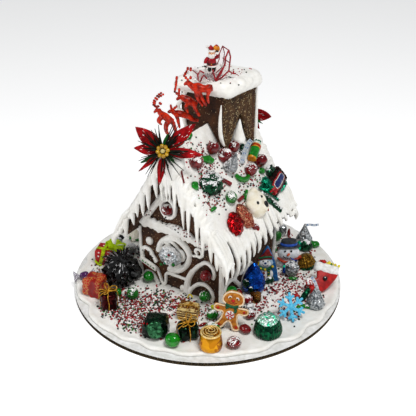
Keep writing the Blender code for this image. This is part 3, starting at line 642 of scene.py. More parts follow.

# ---------------------------------------------------------------- chimney
# Four upright gingerbread slabs that stand on the roof, their lower edges cut to the
# slopes. Icing has run out of the joints: a line at each corner, a drop in each notch.

# Gingerbread under coarse sugar for the chimney's lit right slab: pale where the grains were pressed into
# the dough, and its dough colour lighter than the other slabs' as painted light.
sugared_bread_lit_side, tree, shader, coords, _, dough = clouded(
    "sugared_gingerbread_painted_lit", "#2c1806", "#54381a", 0.8, 5, 6.0, 0.9)
grain = add_node(tree, "ShaderNodeTexVoronoi", {"Vector": coords, "Scale": 1 / (1.3 * MM)})
tinted = add_node(tree, "ShaderNodeSeparateColor", {"Color": grain.outputs["Color"]})
near = add_node(tree, "ShaderNodeMath", {0: grain.outputs["Distance"], 1: 0.42}, operation="LESS_THAN")
picked = add_node(tree, "ShaderNodeMath", {0: tinted.outputs["Red"], 1: 0.76}, operation="GREATER_THAN")
crystal = add_node(tree, "ShaderNodeMath", {0: near.outputs[0], 1: picked.outputs[0]}, operation="MULTIPLY")
add_node(tree, "ShaderNodeMix", {"Factor": crystal.outputs[0], "A": dough, "B": linear("#a8946c")},
         {"Result": shader.inputs["Base Color"]}, data_type="RGBA")


def flat_cut(outline, thick):
    """A flat piece in the XZ plane from its (x, z) outline, half its thickness to each side."""
    shape = bmesh.new()
    face = shape.faces.new([shape.verts.new((x, -thick / 2, z)) for x, z in outline])
    grown = bmesh.ops.extrude_face_region(shape, geom=[face])
    moved = [part for part in grown["geom"] if isinstance(part, bmesh.types.BMVert)]
    bmesh.ops.translate(shape, vec=(0, thick, 0), verts=moved)
    bmesh.ops.recalc_face_normals(shape, faces=shape.faces)
    return shape


def placed(shape, place):
    """The shape moved to its place in the row."""
    if isinstance(shape, bpy.types.Mesh):
        shape.transform(place)
    else:
        bmesh.ops.transform(shape, matrix=place, verts=shape.verts)
    return shape


def chimney_slab(start, end, foot, thick=7.0):
    """An upright slab between two corners of the chimney, its foot cut along (share, z) places."""
    start, end = Vector((*start, 0)), Vector((*end, 0))
    wide = (end - start).length
    outline = [(0, 222), (0, foot[0][1])] + [(wide * share, z) for share, z in foot] + [(wide, foot[-1][1]),
        (wide, 222)]
    slab = flat_cut(outline, thick)
    heading = Matrix.Rotation(math.atan2((end - start).y, (end - start).x), 4, "Z")
    placed(slab, Matrix.Translation(start) @ heading @ Matrix.Translation((0, thick / 2, 0)))
    bmesh.ops.triangulate(slab, faces=slab.faces[:])
    return melted(slab, 1.1, 3, [(6.0, 0.9), (2.0, 0.5)])


FRONT_FOOT = ((0.03, 190), (0.12, 183), (0.26, 177.5), (0.36, 175), (0.46, 178.5), (0.55, 185),
    (0.62, 192.5),
              (0.69, 185), (0.81, 175), (0.9, 167), (0.97, 161))
RIGHT_FOOT = ((0.04, 158), (0.14, 161), (0.25, 169), (0.38, 182), (0.49, 194), (0.55, 195), (0.63, 184),
              (0.73, 168), (0.84, 160), (0.94, 157))
add_piece("chimney_slab_front", "gingerbread",
    [(chimney_slab((-33, 1), (14.5, 7.5), FRONT_FOOT), gingerbread)],
          "chimney_front")
# The right slab takes the lighter sugared gingerbread: painted light on the chimney's lit side.
add_piece("chimney_slab_right", "gingerbread",
    [(chimney_slab((15.2, 7.5), (22.0, 60.5), RIGHT_FOOT), sugared_bread_lit_side)],
          "chimney_right")
for side in ("back", "left"):
    slab = melted(solid_of("chimney_" + side), 1.1, 3, [(6.0, 0.9), (2.0, 0.5)])
    add_piece("chimney_slab_" + side, "gingerbread", [(slab, gingerbread)], "chimney_" + side)

chance = random.Random(8)
runs = [
    [((14.4, 3.6, 214), 0.8), ((14.2, 2.4, 203), 1.6), ((14.2, 2.0, 191), 2.1), ((14.6, 3.2, 179), 2.4),
     ((15.3, 6.0, 171), 1.7), ((15.8, 8.4, 166.5), 1.0)],
    [((19.0, 33.0, 190), 0.8), ((19.0, 32.2, 183), 2.6), ((19.4, 31.2, 175.5), 5.0),
    ((19.8, 30.4, 169), 7.2),
     ((19.8, 30.0, 165.5), 6.6)],
    [((-25, -1, 224), 2.4), ((-32, -1.5, 210), 2.2), ((-36, -1.5, 202), 2.4), ((-31, -1.0, 197), 2.6),
    ((-27.5, 0, 182), 1.8)],
    [((22.4, 61.2, 218), 1.2), ((22.4, 61.4, 198), 1.7), ((22.4, 61.4, 178), 2.0), ((22.6, 61, 160), 2.6)],
    [((-31, 58, 218), 1.2), ((-31.2, 58.4, 190), 2.0), ((-31.6, 58, 160), 2.6)],
]
drops = [((-31.4, 28, 163), (3.4, 8.0, 8.0)), ((-31.2, 28, 174), (2.8, 4.0, 11.0)),
         ((-4, 60.0, 181), (9.0, 3.0, 6.0))]
for step in range(34):
    share = step / 33
    for x, y in ((-31 + 52 * share, 59 + 2 * share), (-33 + 2 * share, 2 + 56 * share)):
        height = PEAK_Z + 14.6 / COS - abs(x - HOUSE_X) * SIN / COS
        drops.append((Vector((x, y + (chance.uniform(-2.5, 1)), height + chance.uniform(-1.0, 1.4))),
                      (chance.uniform(3, 5), chance.uniform(3, 4.5), chance.uniform(2.2, 4.2))))
foot = bmesh.new()
foot.from_mesh(roped(runs))
foot.from_mesh(as_mesh(dabbed(drops)))
add_piece("chimney_joint_icing", "royal_icing", [(melted(foot, 0.9, 2, [(3.0, 0.5)]), royal_icing)])

cap = solid_of("chimney_icing")
chance = random.Random(21)
swells = []
for step in range(30):
    turn = math.tau * step / 30
    swells.append((Vector((-7 + 29 * math.cos(turn) + 2.5 * math.sin(turn),
        31.5 + 31 * math.sin(turn) + 3.5 * math.cos(turn),
                           229.5 + chance.uniform(-2.0, 1.0))), (6.6, 6.6, chance.uniform(4.6, 6.4))))
cap.from_mesh(as_mesh(dabbed(swells)))
add_piece("chimney_cap_icing", "royal_icing",
    [(melted(cap, 1.1, 6, [(9.0, 1.6), (3.0, 0.5)]), royal_icing)],
          "chimney_icing")

# ---------------------------------------------------------------- sleigh
# A shop-bought topper: a sleigh of thin clear styrene, its edges printed red,
# pushed into the icing on the chimney beside a painted Santa.

CAP_TOP = 236.5

# Clear styrene: injection moulded, thin enough to see through, with a hard gloss.
clear_styrene, tree, shader, coords = new_finish(
    "clear_styrene", "#f6e9ea", 0.08, Transmission_Weight=0.9, IOR=1.15, Alpha=0.42)


def gloss_plastic(name, colour, shade, roughness=0.3, **inputs):
    """Moulded or painted plastic: an even colour, a little darker where the paint pools."""
    return clouded(name, shade, colour, roughness, 3, **inputs)[0]


red_edging = gloss_plastic("red_printed_edge", "#a0081a", "#740410")
red_coat = gloss_plastic("red_enamel_paint", "#a01020", "#6e0812")
white_trim = gloss_plastic("white_enamel_paint", "#eeeae6", "#d4cec8", 0.45)
black_paint = gloss_plastic("black_enamel_paint", "#101010", "#050505")
skin_paint = gloss_plastic("flesh_enamel_paint", "#e6b08c", "#d89a74", 0.5)
gold_paint = gloss_plastic("gold_ochre_paint", "#e08a1a", "#a85a0c", 0.35)


def at(x, y, z, turn=0.0, lean=0.0, roll=0.0):
    """A place: turned about Z, then leant about its own X and rolled about its own Y, in degrees."""
    return (Matrix.Translation((x, y, z)) @ Matrix.Rotation(math.radians(turn), 4, "Z")
            @ Matrix.Rotation(math.radians(lean), 4, "X") @ Matrix.Rotation(math.radians(roll), 4, "Y"))


seat = at(0.5, 11.0, CAP_TOP + 0.2, turn=56)
hull = [(-20, 0.5), (10, 0.5), (14, 8), (14, 18), (12.6, 29.6), (9, 23), (7, 17), (4, 8), (-12, 8),
    (-17, 12.6), (-20, 9)]
floor_pan = [(-19, 1.6), (10, 1.6), (10, 2.6), (-19, 2.6)]
sleigh = [(placed(flat_cut(floor_pan, 14.0), seat), clear_styrene)]
edging = []
for across in (-7.5, 7.5):
    side_panel = flat_cut(hull, 0.9)
    sleigh.append((placed(placed(side_panel, Matrix.Translation((0, across, 0))), seat), clear_styrene))
    trails = [
        [(12.6, 30.0), (9.4, 23.0), (9.0, 17.0), (5.0, 8.0), (-1, 0)],
        [(12.6, 30.0), (14.6, 23), (14.0, 17.0), (13, 8.6), (5, 2.5), (-1, 0)],
        [(-1, 0), (-3, 6), (-4.4, 11.8)], [(-1.1, 1.5), (4, 9), (8.6, 15.3), (9.2, 24)],
        [(13, 8.6), (17.5, 5.4), (18.5, 7.9)], [(17.5, 5.4), (20.8, 4.8)],
        [(-18.3, 1.0), (-16.1, 5.1), (-14, 7.9), (-10.8, 3.8)],
        [(-20, 3), (-20.5, 9), (-17.6, 12.6), (-14, 10)],
    ]
    for trail in (trails if across < 0 else trails[:2]):
        edging.append([(seat @ Vector((x, across, z)), 0.85 if across < 0 else 0.55) for x, z in trail])
for x, z in ((12.6, 29.8), (13, 17.5), (-1, 0.4), (-20, 9)):
    edging.append([(seat @ Vector((x, -7.5, z)), 0.6), (seat @ Vector((x, 7.5, z)), 0.6)])
sleigh.append((roped(edging, 2, 1, straight=True), red_edging))
add_piece("styrene_sleigh", "clear_plastic", sleigh, "sleigh")

# ---------------------------------------------------------------- Santa
# A moulded figure of painted plastic, an inch tall: black boots, red coat
# with white fur trim, a white beard and a sack over one shoulder.


def turned(profile, segments=24):
    """A lathe shape about Z, from the (radius, height) points of its profile."""
    shape = bmesh.new()
    line = [shape.verts.new((max(radius, 0.001), 0.0, height)) for radius, height in profile]
    edges = [shape.edges.new(pair) for pair in zip(line, line[1:])]
    bmesh.ops.spin(shape, geom=line + edges, cent=(0, 0, 0), axis=(0, 0, 1), angle=math.tau,
                   steps=segments, use_merge=True)
    bmesh.ops.remove_doubles(shape, verts=shape.verts, dist=0.004)
    bmesh.ops.recalc_face_normals(shape, faces=shape.faces)
    return shape


def lump(x, y, z, wide, deep=None, tall=None, finer=2):
    """A round lump, about the same all ways unless its depth or height is given."""
    shape = bmesh.new()
    fit = Matrix.Translation((x, y, z)) @ Matrix.Diagonal((wide, deep or wide, tall or wide, 1.0))
    bmesh.ops.create_icosphere(shape, subdivisions=finer, radius=1.0, matrix=fit)
    return shape


def rod(*points, radius=1.0, sides=3):
    """A round rod through points."""
    return roped([[(Vector(point), radius) for point in points]], sides, 4)


stand = at(-0.5, 8.5, CAP_TOP + 8.0, turn=30)
coat = [(0, 6.0), (4.6, 6.0), (5.0, 7.2), (4.4, 8), (4.7, 9.5), (4.2, 13), (3.0, 15.6), (0, 16.5)]
santa = [
    (lump(-2.1, -0.4, 1.6, 1.9, 2.5, 1.8), black_paint), (lump(2.1, -0.4, 1.6, 1.9, 2.5, 1.8), black_paint),
    (rod((-2.1, 0, 1.5), (-2.0, 0, 7), radius=2.0), black_paint),
    (rod((2.1, 0, 1.5), (2.0, 0, 7), radius=2.0), black_paint),
    (turned(coat), red_coat),
    (turned([(4.2, 5.6), (5.4, 5.7), (5.5, 6.8), (4.6, 7.3)]), white_trim),
    (turned([(4.3, 8.0), (5.0, 8.2), (5.0, 9.4), (4.4, 9.7)]), black_paint),
    (lump(0, -4.6, 8.8, 0.9, 0.5, 0.9), gold_paint),
    (rod((-3.4, -0.4, 14.4), (-6.0, -1.2, 11.5), (-6.2, -2.4, 8.8), radius=1.7), red_coat),
    (rod((3.4, -0.4, 14.4), (6.2, -1.6, 16.0), (5.6, -2.4, 19.0), radius=1.7), red_coat),
    (lump(-6.2, -2.7, 8.0, 1.9), white_trim), (lump(-6.2, -3.2, 6.6, 1.5), black_paint),
    (lump(5.6, -2.6, 20.0, 1.9), white_trim), (lump(5.4, -2.6, 21.4, 1.5), black_paint),
    (lump(0, -0.6, 18.8, 3.3, 3.2, 3.4, 3), skin_paint),
    (lump(0, -2.2, 16.6, 3.3, 2.4, 3.0, 3), white_trim), (lump(0, -3.6, 18.1, 1.7, 0.8, 0.6), white_trim),
    (lump(0, -3.9, 18.9, 0.5), skin_paint),
    (lump(-1.2, -3.55, 19.7, 0.34), black_paint), (lump(1.2, -3.55, 19.7, 0.34), black_paint),
    (turned([(0, 20.6), (3.5, 20.6), (3.9, 21.4), (3.5, 22.3), (0, 22.3)]), white_trim),
    (rod((0, 0, 21.8), (-0.8, 0.2, 24), (-2.6, 0.4, 25.4), radius=2.2), red_coat),
    (lump(-4.6, 0.2, 25.0, 1.5), white_trim),
    (lump(4.4, 2.2, 22.6, 3.6, 3.0, 4.0, 3), gold_paint), (lump(4.6, 2.0, 26.0, 1.5, 1.5, 1.2), red_coat),
]
add_piece("painted_santa", "red_paint", santa, "santa", place=stand)

# ---------------------------------------------------------------- reindeer
# Four leaping reindeer moulded in translucent red plastic, as on a string of
# trimmings. Their antlers are a row of round beads, as the mould made them.

# Translucent red styrene: deep red clouded at random with orange, the orange painted light for the glow
# where light passes through thin parts.
red_styrene = clouded("translucent_red_styrene", "#7c0a00", "#d42c04", 0.22, 4.5, span=(0.34, 0.62),
                      Transmission_Weight=0.06)[0]


def beads(trail, radius):
    """Round beads one after another along a trail of spots."""
    shape = bmesh.new()
    spots = [Vector(spot) for spot in trail]
    for start, end in zip(spots, spots[1:]):
        count = max(1, round((end - start).length / (radius * 1.7)))
        for i in range(count + 1):
            bmesh.ops.create_icosphere(shape, subdivisions=2, radius=radius * (1.0 if i % 2 else 0.84),
                                       matrix=Matrix.Translation(start.lerp(end, i / count)))
    return shape


def deer(name, across, body, neck, muzzle, legs, antlers, *stands_for):
    """One reindeer: its body, neck and legs run together, with both antlers on its head."""
    aside = Vector(across).normalized()
    strands = [[(Vector(spot), fat) for spot, fat in body], [(Vector(spot), fat) for spot, fat in neck],
               [(Vector(spot), fat) for spot, fat in muzzle]]
    for leg in legs:
        for way in (-1, 1):
            last = len(leg) - 1
            strands.append([(Vector(spot) + aside * way * 1.7, 1.9 - 1.0 * i / last)
                    for i, spot in enumerate(leg)])
    flesh = melted(roped([[(spot, fat * 1.13) for spot, fat in strand] for strand in strands], 3, 4),
                   0.5, 2, [(2.4, 0.9)])
    parts = [(flesh, red_styrene)]
    for trail in antlers:
        for way in (-1, 1):
            spread = [Vector(spot) + aside * way * (0.5 + 0.45 * i) for i, spot in enumerate(trail)]
            parts.append((beads(spread, 1.4), red_styrene))
    add_piece(name, "red_plastic", parts, *stands_for)


deer("reindeer_high", (-0.54, 0.84, 0),
     [((-6, -19, 235), 3.0), ((-1, -16, 235.5), 3.9), ((5, -13, 234), 3.4), ((9, -10, 234.5), 3.8),
     ((11.5, -8, 235), 2.6)],
     [((-5, -18, 235.5), 3.0), ((-8, -20.5, 239), 2.4), ((-9, -21.3, 241), 2.2)],
     [((-8, -20.8, 241), 2.2), ((-11, -22.6, 238.6), 1.5), ((-12.2, -23.4, 237.6), 1.0)],
     [[(-3, -17, 233), (-1, -16, 224), (3, -13, 216)], [(0, -15, 232), (3, -14, 224), (6, -11, 216)],
      [(9, -10, 233), (7.4, -11, 226), (8, -10, 219)]],
     [[(-9, -21.5, 243), (-12, -23, 247), (-10, -22, 251), (-9, -21, 254), (-6.5, -19.6, 253.6)],
      [(-9, -21, 243), (-6.5, -20, 245)]], "reindeer_1")
deer("reindeer_second", (-0.54, 0.84, 0),
     [((-16, -20, 222.5), 3.0), ((-12, -17, 220), 3.8), ((-8, -14.5, 217), 3.4), ((-5, -12.5, 214.5), 3.0)],
     [((-15.5, -19.5, 222), 3.0), ((-18.4, -21, 224), 2.4)],
     [((-18, -21, 224), 2.2), ((-21, -22.6, 221), 1.5), ((-22, -23, 220), 1.0)],
     [[(-12, -17, 218), (-14, -18, 212), (-12, -17, 207)],
     [(-7, -14, 216), (-5, -13, 209), (-2, -11, 203.5)]],
     [[(-20, -22, 225), (-23, -24, 229), (-22, -23, 236), (-21, -23, 243)],
     [(-19.5, -22, 225), (-19, -22, 231)]],
     "reindeer_2")
deer("reindeer_third", (-0.54, 0.84, 0),
     [((-27, -20.5, 204), 2.6), ((-22, -17.5, 203.4), 3.2), ((-17, -14, 201.6), 3.0),
     ((-14, -12, 199.5), 2.4)],
     [((-26, -20, 204), 2.6), ((-29, -22, 206.6), 2.2)],
     [((-29, -22, 206.6), 2.0), ((-32.4, -24, 204.6), 1.2)],
     [[(-14, -12, 200), (-11, -10, 197), (-6, -7.4, 196.4)],
     [(-25, -19, 202), (-24, -18, 195), (-22.5, -17.5, 188)]],
     [[(-29, -22, 208), (-29.6, -22.4, 212)], [(-28, -21, 208), (-25, -19, 211)]], "reindeer_3")
deer("reindeer_leaping", (-0.88, 0.47, 0),
     [((-24, -47.5, 213.5), 2.6), ((-21.5, -43, 209), 3.5), ((-19.5, -39, 204.5), 3.3),
     ((-18, -36, 202), 2.8)],
     [((-24, -47, 213), 2.6), ((-25, -49, 217.5), 2.1)],
     [((-25, -49, 218.4), 2.1), ((-27, -52, 216), 1.3), ((-27.8, -53, 215), 0.9)],
     [[(-20, -39.5, 204), (-22, -42, 197), (-20, -39, 185.5)],
     [(-18, -36, 202), (-17, -34.5, 196), (-16, -33, 189)],
      [(-23, -46, 210), (-25, -49, 205), (-24, -47, 201.5)]],
     [[(-26, -50, 220), (-27.4, -53, 223), (-27, -52, 227), (-25, -49, 231), (-23, -45, 233)],
      [(-25, -49, 221), (-24, -47, 223.4)]], "reindeer_4")

# ---------------------------------------------------------------- poinsettias
# A cloth flower on a wire at each gable: pointed red petals frosted with flock, dark
# pine needles among them and a ring of gold beads, set in a mound of icing.

# Red polyester velvet: deep and matte, with flocked frost caught along the veins.
red_velvet, tree, shader, _, _, velvet = clouded(
    "red_velvet_cloth", "#640004", "#a6060e", 0.6, 5, 3.0, 0.3, Specular_IOR_Level=0.1)
lie = add_node(tree, "ShaderNodeTexCoord").outputs["UV"]
along = add_node(tree, "ShaderNodeMapping", {"Vector": lie, "Scale": (0.16, 0.75, 1.0)})
frost = add_node(tree, "ShaderNodeTexNoise", {"Vector": along.outputs[0], "Scale": 1.0, "Detail": 3.0})
frosted = add_node(tree, "ShaderNodeMath", {0: frost.outputs["Fac"], 1: 0.655}, operation="GREATER_THAN")
add_node(tree, "ShaderNodeMix", {"Factor": frosted.outputs[0], "A": velvet, "B": linear("#e4d4d2")},
         {"Result": shader.inputs["Base Color"]}, data_type="RGBA")

pine_green = gloss_plastic("dark_pine_needle_plastic", "#101a10", "#040804", 0.6, Specular_IOR_Level=0.1)
leaf_green = gloss_plastic("green_leaf_cloth", "#0c6c1a", "#06400c", 0.5)
bead_gold = gloss_plastic("gold_lacquer_bead", "#c89c10", "#8c6404", 0.28, Coat_Weight=0.6)
pale_bead = gloss_plastic("pale_lacquer_bead", "#d8cc90", "#b0a060", 0.35)


def petal(length, width, cup, angle, lift=0.0):
    """A pointed petal in the XZ plane, from the middle out at this angle, cupped towards -Y."""
    shape = bmesh.new()
    bmesh.ops.create_grid(shape, x_segments=14, y_segments=6, size=0.5)
    for vert in shape.verts:
        along, across = vert.co.x + 0.5, vert.co.y * 2
        half = width / 2 * math.sin(math.pi * along**0.8) ** 0.85
        rise = cup * math.sin(math.pi * along * 0.85) - 1.3 * abs(across) * math.sin(math.pi * along)
        ripple = 0.5 * math.sin(9 * along + 3 * across + angle)
        vert.co = (3.0 + (length - 3.0) * along, -lift - rise - ripple * abs(across), half * across)
    bmesh.ops.remove_doubles(shape, verts=shape.verts, dist=0.02)
    bmesh.ops.solidify(shape, geom=shape.faces[:], thickness=0.5)
    lie = shape.loops.layers.uv.new("along_petal")
    for face in shape.faces:
        for corner in face.loops:
            corner[lie].uv = (corner.vert.co.x + angle, corner.vert.co.z)
    bmesh.ops.rotate(shape, verts=shape.verts, matrix=Matrix.Rotation(-math.radians(angle), 3, "Y"))
    bmesh.ops.recalc_face_normals(shape, faces=shape.faces)
    return shape


def poinsettia(name, place, petals, leaves, needle_ways, seed, *stands_for):
    chance = random.Random(seed)
    parts = [(petal(length, width, chance.uniform(2, 4.5), angle, 1.0), red_velvet)
            for angle, length, width in petals]
    parts += [(petal(length, width, 1.5, angle, 0.2), leaf_green) for angle, length, width in leaves]
    needles = []
    for low, high, count in needle_ways:
        for _ in range(count):
            way = math.radians(chance.uniform(low, high))
            reach = chance.uniform(15, 30)
            bow = chance.uniform(-3, 3)
            out = Vector((math.cos(way), 0, math.sin(way)))
            aside = Vector((-out.z, 0, out.x))
            front = chance.uniform(2.5, 5.5)
            needles.append([(out * 4 - Vector((0, 3, 0)), 0.6),
                (out * reach * 0.6 + aside * bow * 0.5 - Vector((0, front + 1.5, 0)), 0.6),
                            (out * reach + aside * bow - Vector((0, front * 0.6, 0)), 0.28)])
    parts.append((roped(needles, 1, 3), pine_green))
    berries = bmesh.new()
    for step in range(8):
        way = math.tau * step / 8 + 0.2
        spot = Vector((4.9 * math.cos(way), -5.0, 4.9 * math.sin(way)))
        bmesh.ops.create_icosphere(berries, subdivisions=3, radius=2.1, matrix=Matrix.Translation(spot))
    parts.append((berries, bead_gold))
    parts.append((lump(0, -4.6, 0, 2.3, finer=3), pale_bead))
    parts.append((lump(0, -1.6, 0, 6.5, 2.2, 6.5, 3), pine_green))
    add_piece(name, "petal_cloth", parts, *stands_for, place=place)


front_flower = at(-3.2, -71.4, 187.0, turn=25, lean=-24)
poinsettia("poinsettia_front_cloth", front_flower,
           [(43, 41, 13), (143, 36, 15), (177, 29, 11), (222, 31, 5), (266, 33, 8), (358, 39, 10)],
           [(78, 17, 6), (210, 25, 5), (318, 16, 4), (25, 22, 5)],
           [(10, 75, 10), (95, 165, 15), (165, 215, 10), (215, 290, 9), (300, 372, 15)], 4,
           "poinsettia_front")
poinsettia("poinsettia_back_cloth", at(-7.5, 90.5, 170.0, turn=188, lean=-16),
           [(8, 33, 11), (60, 33, 12), (112, 27, 12), (179, 30, 17), (232, 24, 11), (296, 33, 11)],
           [(34, 20, 6), (206, 22, 5), (262, 22, 6)], [(-90, 110, 26)], 9, "poinsettia_back")

# The mounds of icing that hold the two flowers to the gables.
chance = random.Random(3)
mound = [((-1.5, -68, 172), (7.5, 5.5, 11)), ((2.5, -67, 166), (6.5, 5.0, 12)),
         ((-15, -66.5, 174), (8.0, 5.5, 9)), ((-20, -66, 166), (6.0, 5.0, 11)),
         ((-9, -64, 180), (12, 6, 9)), ((-6, -58, 184), (10, 7, 7)), ((6, -63, 174), (9, 6, 9)),
         ((-5, 84, 172), (11, 6, 9)), ((-4, 80, 178), (9, 7, 7))]
for step in range(28):
    mound.append((Vector((chance.uniform(-22, 12), chance.uniform(-66, -60), chance.uniform(164, 176))),
                  (chance.uniform(2.5, 4.5), chance.uniform(2.5, 4), chance.uniform(4, 8))))
add_piece("flower_mounds", "royal_icing", [(melted(dabbed(mound), 0.9, 3, [(5.0, 0.9)]), royal_icing)])

# ---------------------------------------------------------------- sweets on the roof
# Sweets pressed into the right slope while its icing was wet: gum drops rolled in
# sugar, foil-wrapped chocolates, a chew, a wrapped bar, a bear's head and a mitten.


def on_roof(x, y, lift=0.0, turn=0.0):
    """A place that far out of the right slope's icing, over this x. Its Z points out of the
    roof and its X down the slope, before it turns about Z."""
    z = PEAK_Z + (14.0 + lift) / COS - (x - HOUSE_X) * SIN / COS
    return (Matrix.Translation((x, y, z)) @ Matrix.Rotation(PITCH, 4, "Y")
            @ Matrix.Rotation(math.radians(turn), 4, "Z"))


def kneaded(shape, size, depth, seed=0.0):
    """The shape with its surface pushed in and out by smooth waves of this size."""
    shape.normal_update()
    shift = Vector((seed * 17.3, seed * 5.1, seed * 9.7))
    for vert in shape.verts:
        vert.co += vert.normal * depth * noise.noise(vert.co / size + shift)
    return shape


def creased(shape, size, depth, seed=0.0):
    """The shape with flat facets and sharp creases, as foil takes when a hand closes on it."""
    shape.normal_update()
    shift = Vector((seed * 11.1, seed * 3.7, seed * 7.9))
    for vert in shape.verts:
        near = noise.voronoi(vert.co / size + shift)[0]
        vert.co += vert.normal * depth * (min(1.0, (near[1] - near[0]) * 1.6) - 0.5)
    return shape


dusted_cherry = boiled_sugar("dusted_cherry_gum", "#84040e", "#4a0208", 0.25, dusted=1.0)
bare_cherry = boiled_sugar("cherry_gum", "#74040c", "#3c0206", 0.2, dusted=0.2)
# Its white on upward faces is sugar on the wall ball, and painted sheen as well on the board gumball.
sugar_and_sheen_green = boiled_sugar("speckled_green_gum", "#0c7c18", "#044c0a", 0.2, dusted=0.45)
dusted_green = boiled_sugar("dusted_green_gum", "#0c7c18", "#044c0a", 0.25, dusted=1.0)
GUMDROP = [(0, 0), (5.2, 0.2), (6.0, 1.8), (6.1, 3.4), (5.6, 5.4), (4.6, 7.6), (3.2, 9.3), (1.6, 10.2),
    (0, 10.4)]


def gumdrop(scale=1.0, seed=0.0):
    return kneaded(turned([(scale * r, scale * z) for r, z in GUMDROP], 28), 4.0, 0.7, seed)


for number, (x, y) in enumerate(((9.8, -40.6), (30.3, 32.8), (29.4, 55.4)), start=1):
    add_piece(f"cherry_gumdrop_{number}", "cherry_candy",
              [(placed(gumdrop(1.2, number), on_roof(x, y, -0.6)),
              bare_cherry if number == 3 else dusted_cherry)],
              f"cherry_drop_{number}")
more_drops = [(placed(gumdrop(size, x), on_roof(x, y, -0.8)), finish)
              for x, y, size, finish in ((8.3, -7.7, 1.15, bare_cherry), (15.1, 4.4, 1.3, dusted_cherry),
                                         (13.6, 23.4, 1.15, bare_cherry), (58.5, -0.5, 0.6, bare_cherry))]
add_piece("cherry_gumdrops_more", "cherry_candy", more_drops)


METAL_SHARE = 0.85  # lacquer over the foil hides the rest of its metal


def wrapping_foil(name, colour, deep, crease=2.6, roughness=0.24, snowed=0.0):
    """Aluminium confectioner's foil, coloured by lacquer: bright, with small flat creases. Each crease
    takes a colour between deep and colour at random, painted light and shade for the way it would
    catch the light. Snowed foil has icing sugar lying on its upper side."""
    made, tree, shader, coords = new_finish(name, colour, roughness, Metallic=METAL_SHARE)
    facets = add_node(tree, "ShaderNodeTexVoronoi", {"Vector": coords, "Scale": 1 / (crease * MM)})
    # Each facet picks its colour between deep and colour at random: painted light and shade.
    facet_light_pick = add_node(tree, "ShaderNodeSeparateColor", {"Color": facets.outputs["Color"]})
    tint = add_node(tree, "ShaderNodeValToRGB", {"Fac": facet_light_pick.outputs["Red"]},
        {"Color": shader.inputs["Base Color"]},
                    ((0.1, deep), (0.9, colour)))
    add_node(tree, "ShaderNodeBump",
        {"Height": facets.outputs["Distance"], "Distance": 0.9 * MM, "Strength": 1.0},
             {"Normal": shader.inputs["Normal"]})
    if snowed:
        cover = under_sugar(tree, shader, coords, tint.outputs["Color"], "#f0f0f0", 1.7, 8, 0.5, -0.25,
                            1.24 - 0.2 * snowed)
        add_node(tree, "ShaderNodeMath", {0: METAL_SHARE, 1: cover}, {0: shader.inputs["Metallic"]},
                 operation="SUBTRACT", use_clamp=True)
    return made


silver_foil = wrapping_foil("silver_wrapping_foil", "#c8cacc", "#7c8084", 2.4, 0.2)
silver_snowed = wrapping_foil("sugared_silver_foil", "#c4c6c8", "#74787c", 2.0, 0.3, 1.0)
green_snowed = wrapping_foil("sugared_green_foil", "#1c5438", "#06200f", 2.4, 0.3, 0.6)
teal_foil = wrapping_foil("teal_wrapping_foil", "#20b088", "#06604c", 3.0, 0.25)
dark_wrap = wrapping_foil("dark_brown_wrapper", "#3c2018", "#140806", 3.0, 0.3)
paper_strip = gloss_plastic("white_tissue_strip", "#e8ecf0", "#ccd6de", 0.8)
blue_ink = gloss_plastic("pale_blue_ink", "#6c94cc", "#5078b8", 0.8)
FOIL_DROP = [(0, 0), (8.6, 0.3), (9.6, 2.0), (9.6, 4.4), (8.2, 8.2), (6.2, 12.2), (4.2, 16.6), (2.4, 21),
    (1.3, 24.6), (0, 26)]


def refined(shape, longest, cuts):
    """The shape with cuts across every edge longer than this."""
    bmesh.ops.subdivide_edges(shape, edges=[edge for edge in shape.edges if edge.calc_length() > longest],
                              cuts=cuts, use_grid_fill=True)
    return shape


def foil_drop(scale, seed):
    """A flat-based drop of chocolate, closed in foil that is twisted to a point."""
    shape = refined(turned([(scale * r, scale * z) for r, z in FOIL_DROP], 40), 2.2 * scale, 1)
    for vert in shape.verts:
        twist = vert.co.z / (26 * scale)
        around = math.atan2(vert.co.y, vert.co.x)
        vert.co.xy *= 1 + 0.07 * math.sin(9 * around + 7 * twist + seed) * (0.4 + twist)
    return creased(shape, 3.2, 0.8, seed)


def thickened(shape, thick):
    """A thin sheet given its thickness."""
    bmesh.ops.solidify(shape, geom=shape.faces[:], thickness=thick)
    bmesh.ops.recalc_face_normals(shape, faces=shape.faces)
    return shape


def band(spots, asides, thick):
    """A thin band along these spots, that reaches to both sides of each by its aside."""
    shape = bmesh.new()
    rows = [[shape.verts.new(spot - aside), shape.verts.new(spot + aside)]
            for spot, aside in zip(spots, asides)]
    for low, high in zip(rows, rows[1:]):
        shape.faces.new((low[0], low[1], high[1], high[0]))
    return thickened(shape, thick)


def paper_flag(trail, width):
    """A narrow strip of tissue along a trail of spots, with plain dots printed on it."""
    spots = [Vector(spot) for spot in trail]
    facing = Vector((0.4, -0.7, 0.5))
    asides = [(after - before).normalized().cross(facing).normalized() * width / 2
              for before, after in zip(spots[:1] + spots, spots[1:] + spots[-1:])]
    marks = bmesh.new()
    for low, high in zip(spots, spots[1:]):
        across = (high - low).normalized().cross(facing).normalized() * width * 0.22
        for way in (-1, 1):
            middle = (low + high) / 2 + Vector((0.12, -0.2, 0.15)) + across * way * 0.8
            bmesh.ops.create_icosphere(marks, subdivisions=1, radius=1.0, matrix=Matrix.Translation(middle)
                                       @ Matrix.Diagonal((0.7, 0.3, 0.9, 1.0)))
    return [(band(spots, asides, 0.25), paper_strip), (marks, blue_ink)]


add_piece("silver_drop_on_roof", "silver_foil",
          [(placed(foil_drop(0.86, 1.0), Matrix.Translation(on_roof(24.2, 4.0, 1.0).translation)
            @ Matrix.Rotation(0.45, 4, "Y")), silver_snowed)],
          "silver_drop_roof")

